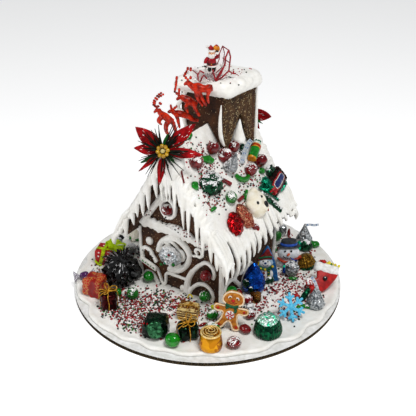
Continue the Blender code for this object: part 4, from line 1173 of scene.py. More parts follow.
bag = kneaded(turned([(0, 0), (11.6, 0.2), (13.8, 2.4), (13.6, 5), (11.4, 8.4), (8.4, 10.6), (4.6, 12.0),
    (0, 12.4)], 48), 9, 2.6, 3)
bag = creased(creased(bag, 6.0, 3.0, 4), 2.6, 1.6, 2)
bmesh.ops.scale(bag, vec=(1.0, 1.12, 1), verts=bag.verts)
add_piece("green_foil_on_roof", "green_foil", [(placed(bag, on_roof(24.0, -33.0, -0.6)), green_snowed)],
          "green_bag_roof")

# The rolled chew: a short roll in green film, banded gold and red at both ends, with its
# top twisted into a green and white tuft and a tissue strip beside it.
green_film = gloss_plastic("green_printed_film", "#0e8a1c", "#066010", 0.25, Coat_Weight=0.4)
gold_film = gloss_plastic("gold_printed_film", "#d8941c", "#a85c0c", 0.3)
white_film = gloss_plastic("white_printed_film", "#e4ece4", "#b8ccb8", 0.35)
red_film = gloss_plastic("red_printed_film", "#b8141c", "#7c0810", 0.3)


def roll_part(low, high, r0, r1):
    shape = turned([(0, low), (r0, low), ((r0 + r1) / 2 * 1.01, (low + high) / 2), (r1, high), (0, high)],
        28)
    return kneaded(shape, 4, 0.4, low)


roll = [(roll_part(-13, -11.4, 4.4, 5.2), gold_film), (roll_part(-11.5, 2.4, 5.2, 5.5), green_film),
        (roll_part(2.3, 4.0, 5.5, 5.5), gold_film), (roll_part(3.9, 6.2, 5.5, 5.4), red_film),
        (roll_part(6.1, 7.6, 5.4, 5.3), gold_film), (roll_part(7.5, 10.8, 5.2, 4.8), white_film),
        (creased(roll_part(10.6, 14.5, 4.8, 3.4), 2, 1.4, 3), teal_foil)]
lying = on_roof(27.4, 51.8, 5.2, -63) @ Matrix.Rotation(math.radians(-90), 4, "Y")
for shape, _ in roll:
    placed(shape, lying)
roll += paper_flag([tuple(on_roof(x, y, lift).translation) for x, y, lift in
                    ((27.2, 25, 2.6), (26.2, 30, 4.6), (25, 36, 6.4), (24, 42, 7.2), (23.4, 47.6, 7.6),
                    (22.8, 52.5, 7.2))], 5.4)
add_piece("rolled_chew", "green_wrap", roll, "roll_candy")

# The wrapped bar: a small chocolate bar in printed film, crimped and fanned at both
# ends. Its printed front is left plain: a dark blue panel in a red and white border.
label_blue = gloss_plastic("dark_blue_printed_film", "#1c2c6c", "#101c4c", 0.3, Coat_Weight=0.4)


def puffed(width, depth, height, seed=0.0):
    """A soft pillow of film round a bar, puckered along both its ends."""
    shape = bmesh.new()
    bmesh.ops.create_cube(shape, size=1.0)
    bmesh.ops.subdivide_edges(shape, edges=shape.edges[:], cuts=11, use_grid_fill=True)
    for vert in shape.verts:
        x, y, z = vert.co * 2
        pinch = 1 - 0.55 * abs(y) ** 5
        vert.co = (width / 2 * x * (1 - 0.08 * abs(y) ** 3 - 0.10 * abs(z) ** 3),
            depth / 2 * y * (1 + 0.04 * (1 - abs(x))),
                   height / 2 * (z * pinch * (1 - 0.25 * abs(x) ** 4)) + height / 2)
    return kneaded(shape, 5.0, 1.1, seed)


bar = [(puffed(21, 30, 9.5, 2), dark_wrap)]
for width, depth, rise, finish in ((13.6, 27.0, 0.5, red_film), (11.2, 25.0, 0.9, white_film),
        (9.4, 23.6, 1.3, label_blue)):
    bar.append((placed(puffed(width, depth, 9.9, 2), Matrix.Translation((0, 0, rise))), finish))
fan = bmesh.new()
bmesh.ops.create_grid(fan, x_segments=26, y_segments=7, size=0.5)
for vert in fan.verts:
    out = vert.co.y + 0.5
    across = 20 * vert.co.x * (1.2 + 0.5 * out)
    vert.co = (across, -14 - 8 * out + 0.42 * across * out,
        4.6 + 1.6 * math.sin(2.2 * across) + 1.4 * math.sin(7 * out + 9 * vert.co.x))
bar.append((thickened(fan, 0.4), teal_foil))
for shape, spot, finish in (
    (creased(puffed(20, 9, 8.5, 5), 3, 1.5, 1), (-6.0, -13.0, 0.2), teal_foil),
    (creased(puffed(9, 8, 8.0, 5), 3, 1.5, 1), (2.0, -14.0, 1.4), red_film),
    (creased(puffed(20, 7, 8.5, 6), 3, 1.5, 4), (0, 13.5, 0.4), dark_wrap),
    (creased(lump(0, 0, 3.6, 7.0, 8.0, 4.2, 3), 2.6, 1.6, 7), (-12.5, 5.0, 0), green_snowed),
    (creased(lump(0, 0, 4.0, 3.4, 9.0, 4.0, 3), 2.6, 1.4, 7), (11.0, 6.0, 0.5), teal_foil),
):
    bar.append((placed(shape, Matrix.Translation(spot)), finish))
add_piece("wrapped_bar_film", "bar_wrap", bar, "wrapped_bar", place=on_roof(45.2, 63.5, -0.6, 17))

stick = refined(boxed(36, 6, 5, 2.0, 4), 10, 14)
stick = placed(kneaded(stick, 4, 1.0, 3), on_roof(55.4, 42.0, 2.2, 31))
add_piece("green_foil_stick", "green_foil", [(stick, green_snowed)], "green_stick")

# The bear's head: a dome of cream fondant with round ears, and eyes, nose and
# tongue of black and red paste pressed on.
cream_fondant = clouded("cream_fondant", "#eae0c6", "#f8f3e6", 0.55, 7, 3.0, 0.5)[0]
black_paste = gloss_plastic("black_sugar_paste", "#18161a", "#060608", 0.4)
red_paste = gloss_plastic("red_sugar_paste", "#b40c14", "#7c060c", 0.45)

dome = kneaded(lump(0, 0, 3.4, 15.6, 14.2, 9.4, 4), 11, 1.0, 4)
bear = [(dome, cream_fondant),
        (lump(6.0, 3.0, 8.6, 7.0, 7.4, 5.4, 3), cream_fondant),
        (lump(-12.0, 3.0, 5.4, 5.0, 5.0, 3.8, 3), cream_fondant),
        (lump(-3.5, -12.5, 5.0, 4.6, 4.4, 3.4, 3), cream_fondant),
        (lump(-4.6, 2.8, 12.2, 1.5, 1.5, 1.3), black_paste),
        (lump(-1.6, -7.0, 12.0, 1.8, 1.5, 1.3), black_paste),
        (lump(4.6, 2.6, 13.8, 3.8, 2.8, 1.6), black_paste),
        (lump(10.4, 3.6, 11.4, 2.8, 1.3, 1.4), red_paste)]
add_piece("fondant_bear_head", "cream_fondant", bear, "bear_head", place=on_roof(48.6, 15.6))

# The mitten: two foil-wrapped sweets side by side, one red, one red printed with gold.
red_foil = wrapping_foil("red_wrapping_foil", "#b80810", "#640206", 2.6, 0.26)
# On this foil the facets' colours stand for its gold print as well as painted light and shade.
red_gold_foil = wrapping_foil("red_and_gold_foil", "#c08464", "#840206", 1.5, 0.3)
left_part = creased(kneaded(lump(0, 0, 3.2, 12.4, 11.0, 4.8, 4), 7, 2.0, 2), 3.4, 1.4, 6)
right_part = creased(kneaded(lump(0, 0, 3.4, 14.6, 8.6, 5.2, 4), 7, 1.6, 5), 2.6, 1.2, 3)
mitten = [(placed(left_part, on_roof(50.5, -28.7, 0.0)), red_foil),
          (placed(right_part, on_roof(50.4, -9.6, 0.0, 10)), red_gold_foil),
          (placed(creased(lump(0, 0, 2, 3.4, 2.6, 2.6, 3), 2, 0.8, 2), on_roof(60.6, 1.4, 0.0)), red_foil)]
add_piece("red_foil_pair", "red_foil", mitten, "red_mitten")

# Small sweets between the large ones: green jelly leaves, pieces of green and red gum
# and a green ball under a heap of sugar.
white_sugar = sugar_paste
bits = []
for x, y, wide, long, turn in ((12.9, -20.0, 4.4, 9.2, -25), (20.7, -55.0, 4.2, 4.6, 70),
        (36.8, -46.0, 2.2, 4.8, 10),
                               (35.6, 52.9, 3.6, 4.8, 5), (42.2, 21.8, 3.0, 3.0, 0),
                               (-3.9, -28.3, 3.2, 6.0, 50),
                               (4.0, -52.0, 2.4, 3.6, 40)):
    bits.append((placed(kneaded(lump(0, 0, 1.4, wide, long, 2.4, 3), 3, 1.2, x), on_roof(x, y, 0.0, turn)),
        green_jelly))
for x, y, size in ((17.7, 40.1, 4.6), (20.5, 36.0, 3.4), (15.8, 60.5, 3.4)):
    bits.append((placed(creased(lump(0, 0, 1.6, size, size, 2.6, 3), 2, 1.2, x), on_roof(x, y, 0.0)),
        green_snowed))
for stops, finish in (
    (((30.0, 8.6, 1.8, 2.0), (33.4, 10.5, 2.4, 3.0), (35.6, 16.0, 2.6, 3.3), (36.0, 22.0, 2.4, 3.0),
      (34.8, 27.4, 1.8, 2.0)), green_jelly),
    (((45.0, 5.6, 1.4, 1.6), (42.4, 9.8, 1.8, 2.2), (40.8, 14.0, 1.4, 1.6)), green_jelly),
    (((42.8, -5.6, 1.6, 2.0), (42.6, 3.0, 1.6, 2.2)), red_jelly),
    (((28.0, -13.0, 1.4, 2.0), (32.5, -6.0, 1.6, 2.4)), red_jelly),
):
    bits.append((roped([[(on_roof(x, y, lift).translation, radius) for x, y, lift, radius in stops]]),
        finish))
bits.append((placed(kneaded(lump(0, 0, 3.2, 6.6, 7.0, 5.6, 3), 5, 0.8, 2), on_roof(37.0, -15.6, -0.2)),
    dusted_green))
bits.append((rod((10.2, -62.0, 170.0), (13.0, -64.2, 163.0), (16.4, -66.0, 155.5), radius=0.9), red_jelly))
yellow_jelly = boiled_sugar("yellow_fruit_jelly", "#c8c848", "#98a020")
stops = ((10.8, -36.0, 1.0), (11.8, -29.0, 1.6), (13.6, -21.0, 1.0))
bits.append((rod(*(on_roof(*stop).translation for stop in stops), radius=0.9), yellow_jelly))
add_piece("small_sweets_on_roof", "green_gum", bits)

# ---------------------------------------------------------------- sweets on the walls
# Round panned sweets stuck to the gingerbread with icing, inside the piped rings and
# arches, and one chocolate in crumpled silver foil in the middle of the great ring.

cherry_sweet = boiled_sugar("cherry_panned_sugar", "#84060f", "#540309")
green_sweet = boiled_sugar("green_panned_sugar", "#0a8016", "#04560c")
for name, place, finish, node, slot in (
    ("cherry_ball_gable", (-17.0, -50.6, 109.0), dusted_cherry, "gable_ball", "cherry_candy"),
    ("cherry_ball_arch", (32.5, -52.2, 45.0), cherry_sweet, "wall_ball_red", "cherry_candy"),
    ("green_ball_arch", (31.0, -52.4, 18.4), sugar_and_sheen_green, "wall_ball_green", "green_gum"),
    ("green_ball_left", (-44.8, -51.6, 15.0), green_sweet, "wall_ball_left", "green_gum"),
    ("green_ball_side", (55.1, -37.0, 25.0), green_sweet, "side_ball", "green_gum"),
):
    add_piece(name, slot, [(kneaded(lump(*place, 6.2, finer=4), 5, 0.35, place[0]), finish)], node)

pearl_foil = wrapping_foil("pearl_wrapping_foil", "#f4f6f8", "#a8b0b4", 2.2, 0.3, 0.8)
# The silver sweet: foil closed loosely over a lump, with small green, teal and red lumps laid on its front
# as painted reflections.
sweet = creased(kneaded(lump(0, 0, 0, 13.6, 8.0, 11.2, 4), 8, 1.6, 3), 4.2, 2.2, 5)
sweet = placed(sweet, Matrix.Translation((-12.5, -54.0, 54.5)))
painted_reflections = []
for x, z, wide, finish in ((-3.5, 50.5, 2.2, leaf_green), (-19.5, 45.5, 2.0, leaf_green),
        (-12.5, 58.0, 1.8, teal_foil),
                           (-9.0, 61.0, 1.7, red_foil), (-14.0, 49.0, 1.6, teal_foil)):
    painted_reflections.append((creased(lump(x, -61.0, z, wide, 1.2, wide, 2), 1.5, 0.5, x), finish))
add_piece("silver_foil_sweet", "silver_foil", [(sweet, pearl_foil)] + painted_reflections, "wall_foil_sweet")

# ---------------------------------------------------------------- presents
# Solid chocolates wrapped as presents: a box in dotted red paper with a lime ribbon and
# bow, and three in dark or gold foil tied with gold cord, which is knotted in a bow.


def carton(width, depth, height, rounding, seed, swell=0.7):
    """A box on z = 0 with soft edges and slightly uneven sides."""
    shape = placed(boxed(width, depth, height, rounding), Matrix.Translation((0, 0, height / 2)))
    return kneaded(refined(shape, rounding * 2, 9), 7, swell, seed)


def curved(points, steps=4, closed=False):
    """A smooth line through a few points, as more points."""
    spots = [Vector(point) for point in points]
    count = len(spots)
    line = []
    for i in range(count if closed else count - 1):
        a, b, c, d = (spots[(i + k) % count] if closed else spots[min(max(i + k, 0),
            count - 1)] for k in (-1, 0, 1, 2))
        for step in range(steps):
            t = step / steps
            line.append((2 * b + (c - a) * t + (2 * a - 5 * b + 4 * c - d) * t * t
                         + (3 * b - a - 3 * c + d) * t ** 3) / 2)
    return line if closed else line + [spots[-1]]


def strip(trail, width, across, thick=0.4):
    """A flat ribbon along a trail of spots; across is the way its width lies."""
    spots = curved(trail)
    return band(spots, [Vector(across).normalized() * width / 2] * len(spots), thick)


def tied(width, depth, height, cord, reach, loops, seed):
    """Cord round a box both ways and over its lid, and a bow of open loops on top."""
    chance = random.Random(seed)
    w, d = width / 2 + cord * 0.7, depth / 2 + cord * 0.7
    top = height + cord * 0.7
    strands = [
        [(-w, 0, 1), (-w, 0.4, height / 2), (-w, -0.3, top - 1), (-w + 2, 0, top), (w - 2, 0.3, top),
        (w, 0, top - 1), (w, 0.4, height / 2), (w, 0, 1)],
        [(0, -d, 1), (0.4, -d, height / 2), (-0.3, -d, top - 1), (0, -d + 2, top), (0, d - 2, top),
        (0, d, top - 1), (0, d, 1)],
        [(-w, -d * 0.5, top - 2), (-w * 0.4, -d * 0.2, top + 0.4), (w * 0.5, d * 0.4, top + 0.4),
        (w, d * 0.6, top - 3)],
    ]
    for i in range(loops):
        way = math.tau * (i + chance.uniform(-0.2, 0.2)) / loops
        out, aside = Vector((math.cos(way), math.sin(way), 0)), Vector((-math.sin(way), math.cos(way), 0))
        rise = chance.uniform(0.3, 0.8) * reach
        strands.append([(0, 0, top),
            *(tuple(Vector((0, 0, top)) + out * reach * a + aside * reach * b + Vector((0, 0, rise * c)))
                                      for a, b, c in ((0.5, 0.3, 0.7), (1.0, 0.12, 0.7), (0.95, -0.15, 0.4),
                                      (0.45, -0.2, 0.2))), (0, 0, top)])
    return roped([[(Vector(spot), cord / 2) for spot in strand] for strand in strands], 2, 5)


# Red wrapping paper with printed white dots of about a millimetre and a half.
dotted_paper, tree, shader, coords, _, paper_red = clouded(
    "red_dotted_paper", "#84060c", "#b40c12", 0.35, 9, relief=0.3)
dots = add_node(tree, "ShaderNodeTexVoronoi",
    {"Vector": coords, "Scale": 1 / (4.6 * MM), "Randomness": 0.75})
inside = add_node(tree, "ShaderNodeMath", {0: dots.outputs["Distance"], 1: 0.25}, operation="LESS_THAN")
add_node(tree, "ShaderNodeMix", {"Factor": inside.outputs[0], "A": paper_red, "B": linear("#f2e6e2")},
         {"Result": shader.inputs["Base Color"]}, data_type="RGBA")

lime_ribbon = gloss_plastic("lime_satin_ribbon", "#ecff20", "#c4e40c", 0.4)
gold_cord = gloss_plastic("gold_lurex_cord", "#e0a830", "#a06c10", 0.3, Metallic=0.3)

ribbons = [strip([(-10.4, 4, 1), (-10.5, 1, 10), (-10.0, -2, 18.6), (-5, -3, 19.6), (2, -4, 19.6),
    (9.5, -2, 19.4), (10.5, 0, 12), (10.5, 2, 1)], 4.4, (0.1, 1, 0)),
           strip([(-4.5, -10.6, 1), (-1.5, -10.8, 9), (1.0, -10.2, 18.6), (0, -5, 19.8), (0, 4, 19.8),
           (0, 10, 19.2), (0, 10.6, 2)], 4.4, (1, 0.1, 0.15)),
           strip([(-10, -10.6, 6), (-6.4, -11.0, 3.0), (-1.5, -11.2, 1.5)], 3.4, (0.3, 0, 1))]
for degrees, reach, rise in ((-40, 15, 3), (-12, 18, 2), (16, 17, 3.5), (58, 13, 4), (105, 11, 5),
        (150, 8, 5),
                             (-80, 7, 6)):
    out = Vector((math.cos(math.radians(degrees)), math.sin(math.radians(degrees)), 0))
    knot = Vector((6.5, 3.0, 19.6))
    loop = [knot + out * reach * a + Vector((0, 0, rise * c)) for a, c in
            ((0, 0), (0.35, 0.85), (0.75, 1.1), (1.0, 0.55), (0.8, 0.1), (0.4, 0.05), (0, 0))]
    ribbons.append(strip([tuple(spot) for spot in loop], 4.6, out.cross(Vector((0, 0, 1))), 0.5))
present = [(carton(20, 20, 19, 1.0, 1, 0.4), dotted_paper)] + [(ribbon, lime_ribbon) for ribbon in ribbons]
add_piece("present_red_dotted", "red_paper", present, "present_lime",
    place=at(-111.4, -46.6, GROUND, turn=20))

maroon_foil = wrapping_foil("maroon_wrapping_foil", "#480c0e", "#140204", 4.5, 0.22)
forest_foil = wrapping_foil("dark_green_wrapping_foil", "#10301e", "#030a06", 5.5, 0.16)
old_gold_foil = wrapping_foil("old_gold_wrapping_foil", "#d8a850", "#5c3408", 2.6, 0.26)
banded_foil, tree, shader, coords = new_finish("banded_gold_foil", "#c8963c", 0.26, Metallic=0.35)
rows = add_node(tree, "ShaderNodeTexWave", {"Vector": coords, "Scale": 1 / (9 * MM), "Distortion": 3.0,
                                            "Detail": 2.0, "Detail Scale": 2.0}, bands_direction="Z")
add_node(tree, "ShaderNodeValToRGB", {"Fac": rows.outputs["Fac"]}, {"Color": shader.inputs["Base Color"]},
         ((0.2, "#6c3c0a"), (0.8, "#e8cc88")))
add_node(tree, "ShaderNodeBump", {"Height": rows.outputs["Fac"], "Distance": 0.8 * MM, "Strength": 1.0},
         {"Normal": shader.inputs["Normal"]})
for name, node, slot, place, size, rounding, finish, cord, reach, loops, seed in (
    ("present_maroon_foil", "present_dark", "dark_red_foil", at(-51, -113, GROUND, turn=40), (17, 17, 19.5),
    3.5,
     maroon_foil, 0.9, 9.0, 4, 5),
    ("present_green_foil", "present_green", "green_foil", at(47.5, -108, GROUND, turn=50), (20.5, 18, 17),
    4.5,
     forest_foil, 0.9, 10.0, 5, 8),
    ("present_gold_foil", "present_gold", "gold_foil", at(29, -80, GROUND, turn=20), (21, 17.5, 13.5), 1.0,
     banded_foil, 0.5, 5.0, 2, 2),
):
    present = [(creased(carton(*size, rounding, seed, 1.2), 5.0, 1.4, seed), finish),
               (tied(*size, cord, reach, loops, seed), gold_cord)]
    add_piece(name, slot, present, node, place=place)

# The red foil box stands beside the others: its foil is printed in patches with a fine gold pattern.
printed_red, tree, shader, coords, patches, box_red = clouded(
    "red_foil_with_gold_print", "#7c0402", "#b81004", 0.36, 9, 1.0, 0.6)
lines = add_node(tree, "ShaderNodeTexVoronoi", {"Vector": coords, "Scale": 1 / (2.8 * MM)},
    feature="DISTANCE_TO_EDGE")
drawn = add_node(tree, "ShaderNodeMath", {0: lines.outputs["Distance"], 1: 0.07}, operation="LESS_THAN")
printed = add_node(tree, "ShaderNodeMath", {0: patches.outputs["Fac"], 1: 0.47}, operation="GREATER_THAN")
both = add_node(tree, "ShaderNodeMath", {0: drawn.outputs[0], 1: printed.outputs[0]}, operation="MULTIPLY")
add_node(tree, "ShaderNodeMix", {"Factor": both.outputs[0], "A": box_red, "B": linear("#b08440")},
         {"Result": shader.inputs["Base Color"]}, data_type="RGBA")
add_piece("red_foil_box", "red_foil",
    [(creased(carton(21.5, 19.5, 21.5, 2.0, 7, 1.2), 6, 1.2, 3), printed_red)],
          "red_box_sweet", place=at(-80.3, -101.5, GROUND, turn=12))

# ---------------------------------------------------------------- bundle in black film
# Sweets gathered in black cellophane: the film is bunched at its neck and its cut fringe
# fans out over the top, and long folds run down its sides.
black_film = gloss_plastic("black_cellophane", "#060506", "#010101", 0.14, Specular_IOR_Level=0.5)
# Smoked and pale strips among the black fringe are painted sheen and painted glints on the black film.
smoked_film_sheen = gloss_plastic("smoked_cellophane_painted_sheen", "#3c2c2c", "#140c0e", 0.25, Specular_IOR_Level=0.4)
pale_film_and_glint = gloss_plastic("pale_film_and_painted_glint", "#d8d0d2", "#a89c9e", 0.2, Coat_Weight=0.5)
chance = random.Random(21)
gathered = turned([(0, 0), (13.5, 0.4), (18.5, 5), (20, 12), (18.8, 19), (14.5, 25), (9, 29), (0, 30)], 72)
refined(gathered, 3, 2)
for vert in gathered.verts:
    around = math.atan2(vert.co.y, vert.co.x)
    rise = vert.co.z / 30
    vert.co.xy *= 1 + (0.05 + 0.16 * rise) * math.sin(11 * around + 3.5 * rise + 1.2 * math.sin(3 * around))
gathered = creased(kneaded(gathered, 12, 3.0, 2), 7.0, 3.0, 4)
placed(gathered, Matrix.Translation((-70, -66.5, GROUND)))
fringes = {black_film: [], smoked_film_sheen: [], pale_film_and_glint: []}
for i in range(120):
    fine = i >= 14
    way = chance.uniform(1.8, 3.9) if fine else chance.uniform(3.4, 6.0)
    high = chance.uniform(0.35, 1.0) if fine else chance.uniform(0.3, 0.8)
    out = Vector((math.cos(way), math.sin(way), 0))
    root = Vector((-70, -64.5, GROUND + 9 + 19 * high)) + out * (15.5 - 8 * high)
    reach = chance.uniform(7, 15) if fine else chance.uniform(7, 11)
    fall = chance.uniform(-4, 6) if fine else chance.uniform(-14, -8)
    tip = root + out * reach + Vector((-1.5, 1, fall))
    bend = (root + tip) / 2 + out * 2.0 + Vector((0, 0, chance.uniform(1, 4)))
    tip.z = max(tip.z, GROUND + 1)
    finish = chance.choices((black_film, smoked_film_sheen, pale_film_and_glint), (9, 3, 2.4) if fine else (1, 0, 0))[0]
    fringes[finish].append(strip([tuple(root), tuple(bend), tuple(tip)],
        chance.uniform(0.7, 1.8) if fine else chance.uniform(4, 8),
                                 out.cross(Vector((0, 0, 1))) + Vector((0, 0, chance.uniform(-0.7, 0.7))),
                                 0.2))
bundle = [(gathered, black_film)] + [(shape, finish)
        for finish, shapes in fringes.items() for shape in shapes]
add_piece("black_film_bundle", "dark_film", bundle, "dark_bundle")

# ---------------------------------------------------------------- cups, drops and bulb
# Filled chocolate cups in pleated foil, drops twisted shut round a tissue strip, and a
# chocolate tree lamp: a blue foil bulb on a copper foil screw.


def pleated(profile, folds, depth, reach=1.0):
    """A lathe shape with folds round it, which fade out above the reach share of its height."""
    shape = turned(profile, folds * 6)
    top = max(height for _, height in profile)
    for vert in shape.verts:
        around = math.atan2(vert.co.y, vert.co.x)
        if vert.co.z < top * reach:
            vert.co.xy *= 1 + depth * math.cos(folds * around)
    return shape


amber_foil = wrapping_foil("amber_foil_cup", "#e09c18", "#a86008", 6.0, 0.34)
cream_edge = gloss_plastic("pale_gold_foil_edge", "#f4dc9c", "#d4a848", 0.3, Metallic=0.3)
coil = []
for i in range(34):
    way = 0.55 * i
    coil.append((Vector(((1.0 + 0.23 * i) * math.cos(way), (1.0 + 0.23 * i) * math.sin(way),
        21.4 - 0.05 * i)), 0.85))
edge = [(spot + Vector((0, 0, 0.85)), 0.4) for spot, _ in coil]
rim = [(Vector((9.6 * math.cos(math.tau * i / 24), 9.6 * math.sin(math.tau * i / 24), 19.0)),
    1.0) for i in range(25)]
gold_cup = [(kneaded(turned([(0, 0), (9.6, 0.2), (11.0, 1.6), (11.7, 4.5), (11.4, 9), (10.4, 15),
    (9.7, 18.6), (8.4, 19.4), (0, 19.6)], 48), 8, 0.5, 1), amber_foil),
            (roped([coil], 2, 2), old_gold_foil), (roped([edge, rim], 2, 2), cream_edge)]
add_piece("gold_cup_sweet", "gold_foil", gold_cup, "gold_cup", place=at(76, -109, GROUND))

pleated_green = wrapping_foil("green_pleated_foil", "#0a5c38", "#02281a", 3.0, 0.3)
mint_foil = wrapping_foil("mint_crinkled_foil", "#30c898", "#e8f4f0", 2.2, 0.35)
green_cup = [
    (pleated([(0, 0), (11.5, 0.1), (13.6, 1.6), (14.4, 4), (14.0, 8), (12.6, 13.5), (11.4, 17), (10.6, 18),
    (0, 17.5)], 30, 0.022, 0.97), pleated_green),
    (creased(kneaded(turned([(0, 16.5), (11.0, 16.6), (10.8, 18.6), (8.5, 20.8), (4.5, 22), (0, 22.3)], 40),
    6, 1.2, 4), 2.6, 1.5, 8), mint_foil)]
add_piece("green_cup_sweet", "green_foil", green_cup, "green_cup", place=at(112, -58, GROUND, lean=5))

brown_gold = wrapping_foil("bronze_foil", "#9c7424", "#4c3408", 2.0, 0.3)
ribbed = [
    (pleated([(0, 1.5), (10.4, 1.6), (10.6, 4), (9.4, 9), (7.2, 13), (4, 15.6), (0, 16.2)], 18, 0.05, 0.96),
    brown_gold),
    (pleated([(0, 0), (10.6, 0.1), (11.2, 1.6), (10.8, 3.6), (9.8, 3.9)], 18, 0.05), pleated_green)]
add_piece("ribbed_cup_sweet", "gold_foil", ribbed, "ribbed_cup",
    place=at(89.5, 74, GROUND + 0.6, turn=34, roll=-14))

dull_silver = wrapping_foil("dull_silver_foil", "#c4c8ca", "#5c6266", 2.0, 0.3, 0.3)
for name, node, x, y, seed, width, trail in (
    ("silver_drop_front", "silver_drop", 131.6, 10, 3.0, 3.4,
     [(131.5, 10.5, 31), (128, 14, 34), (124, 17, 35.5), (120.5, 18.5, 37)]),
    ("silver_drop_behind", "silver_drop_back", 62.6, 119.4, 7.0, 3.0,
     [(63, 119.4, 33), (68, 121, 34.5), (73, 122.5, 34.5), (78, 124.5, 36)]),
):
    drop = placed(foil_drop(1.04, seed), at(x, y, GROUND))
    add_piece(name, "silver_foil", [(drop, dull_silver)] + paper_flag(trail, width), node)

blue_foil = wrapping_foil("blue_wrapping_foil", "#0c50b8", "#04206c", 4.0, 0.22)
silver_sweet = [
    (placed(creased(kneaded(lump(0, 0, 0, 9.0, 8.8, 8.8, 4), 6, 1.0, 3), 3.4, 1.0, 2),
    Matrix.Translation((82.5, 47.5, GROUND + 9))), dull_silver),
    (placed(creased(lump(0, 0, 0, 3.0, 4.2, 4.6, 3), 2, 0.6, 2),
    Matrix.Translation((77.5, 42.0, GROUND + 8.5))), blue_foil),
    (placed(creased(lump(0, 0, 0, 2.0, 2.4, 2.2, 3), 2, 0.6, 2),
    Matrix.Translation((76.6, 41.6, GROUND + 12.5))), teal_foil)]
add_piece("silver_ball_sweet", "silver_foil", silver_sweet, "silver_ball")

bulb = turned([(0, 0), (6.5, 0.4), (10.8, 3.2), (13.0, 8), (13.2, 12.5), (11.8, 18.5), (9.2, 25), (6.0, 31),
    (3.0, 35.5), (1.0, 37.5), (0, 37.6)], 40)
bulb = [(placed(creased(kneaded(bulb, 12, 0.8, 2), 5.0, 1.1, 6), Matrix.Translation((62.6, -3, GROUND))),
    blue_foil)]
for x, y, z, wide in ((60.0, -15.0, 24.0, 4.6), (66.0, -15.6, 19.0, 3.2)):
    bulb.append((creased(lump(x, y, z, wide, 1.8, wide * 1.3, 3), 2.5, 0.8, x), green_snowed))
copper_foil = wrapping_foil("copper_foil", "#b07c38", "#3c200c", 4.0, 0.2)
screw = turned([(0, -1), (6.2, 0), (6.9, 1.2), (5.6, 2.4), (6.6, 3.7), (5.3, 4.9), (6.2, 6.2), (4.9, 7.4),
    (5.7, 8.7), (4.2, 10.0), (2.6, 12), (0, 12.6)], 28)
lying = Matrix.Translation((70.0, -12.4, 13.5)) @ Vector((0.52, -0.62, -0.42)).to_track_quat("Z",
    "Y").to_matrix().to_4x4()
bulb.append((placed(screw, lying), copper_foil))
add_piece("blue_foil_bulb", "blue_foil", bulb, "blue_egg")

# A bonbon in dark green foil, squarish; one flat side is a lump of lighter green foil, a painted highlight.
bonbon = creased(kneaded(carton(26, 25, 22, 8.0, 5, 1.0), 9, 1.6, 6), 7.0, 2.2, 3)
bonbon = placed(bonbon, at(18.5, -121.5, GROUND, turn=28))
# The lighter green foil on one side is a painted highlight.
lit_side_foil = wrapping_foil("painted_highlight_green_foil", "#3c7850", "#10381e", 3.0, 0.25)
panel = creased(lump(0, 0, 0, 8.6, 2.6, 9.6, 3), 3, 1.0, 4)
placed(panel, at(24.4, -130.6, GROUND + 13.5, turn=33, lean=-18))
spots = [(lump(x, y, z, 1.2, 1.0, 0.9), red_foil) for x, y, z in
         ((4.6, -126.5, 24), (5.4, -128.5, 20.5), (4.4, -127.5, 17), (5.6, -129.5, 13.5),
         (12.0, -133.0, 26.5), (17, -134, 28.6))]
add_piece("green_foil_bonbon", "green_foil", [(bonbon, forest_foil), (panel, lit_side_foil)] + spots,
    "green_foil_sweet")

# A boiled sweet twisted in clear film, and a tent-shaped milk sweet beside the wall.
purple_sweet = boiled_sugar("purple_boiled_sugar", "#5c2468", "#34103c")
clear_film = clouded("clear_twist_film", "#c8c4d0", "#f8f8fa", 0.12, 2.5, relief=1.0,
    Transmission_Weight=0.6,
                     IOR=1.3)[0]
twist = [(kneaded(lump(0, 0, 10.5, 4.6, 4.6, 5.6, 3), 3, 0.8, 2), purple_sweet)]
for way in (-1, 1):
    fan = turned([(0.6, 5.2), (2.2, 7.5), (5.4, 11.5), (5.8, 11.6)], 40)
    for vert in fan.verts:
        vert.co.xy *= 1 + 0.25 * math.cos(6 * math.atan2(vert.co.y, vert.co.x))
    if way < 0:
        bmesh.ops.scale(fan, vec=(1, 1, -1), verts=fan.verts)
    twist.append((placed(thickened(fan, 0.25), Matrix.Translation((0, 0, 10.5))), clear_film))
add_piece("twist_wrapped_sweet", "clear_wrap", twist, "twist_candy",
          place=at(-101.7, -79.9, GROUND + 5.2, turn=-38, lean=90))

milk_film = gloss_plastic("cream_paper_wrap", "#e8e4d8", "#c4bca4", 0.5)
tent = bmesh.new()
bmesh.ops.create_cone(tent, cap_ends=True, segments=4, radius1=11.0, radius2=1.4, depth=15.5,
                      matrix=Matrix.Translation((0, 0, 9.5)))
refined(softened(tent, 0.8, 2), 3, 7)
base = creased(kneaded(lump(0, 0, 2.6, 8.6, 7.4, 2.8, 4), 4, 0.8, 2), 3, 0.8, 2)
side_sweet = [(creased(kneaded(tent, 5, 1.2, 2), 5, 1.4, 3), milk_film), (base, green_jelly)]
add_piece("cream_paper_sweet", "white_sugar", side_sweet, "side_sweet",
    place=at(-114.0, 12, GROUND, turn=12))

# ---------------------------------------------------------------- gingerbread man
# A small baked biscuit, cut out and iced by hand: a white line round its edge, eyes and
# brows, a red nose, a green scarf and a peppermint on its middle. It leans on the icing.


def stood_by(shape, x, y, turn=0.0, lean=0.0, roll=0.0):
    """The place where this shape, leant like that, rests on the board's icing."""
    place = at(x, y, 0.0, turn, lean, roll)
    return Matrix.Translation((0, 0, GROUND - min((place @ vert.co).z for vert in shape.verts))) @ place


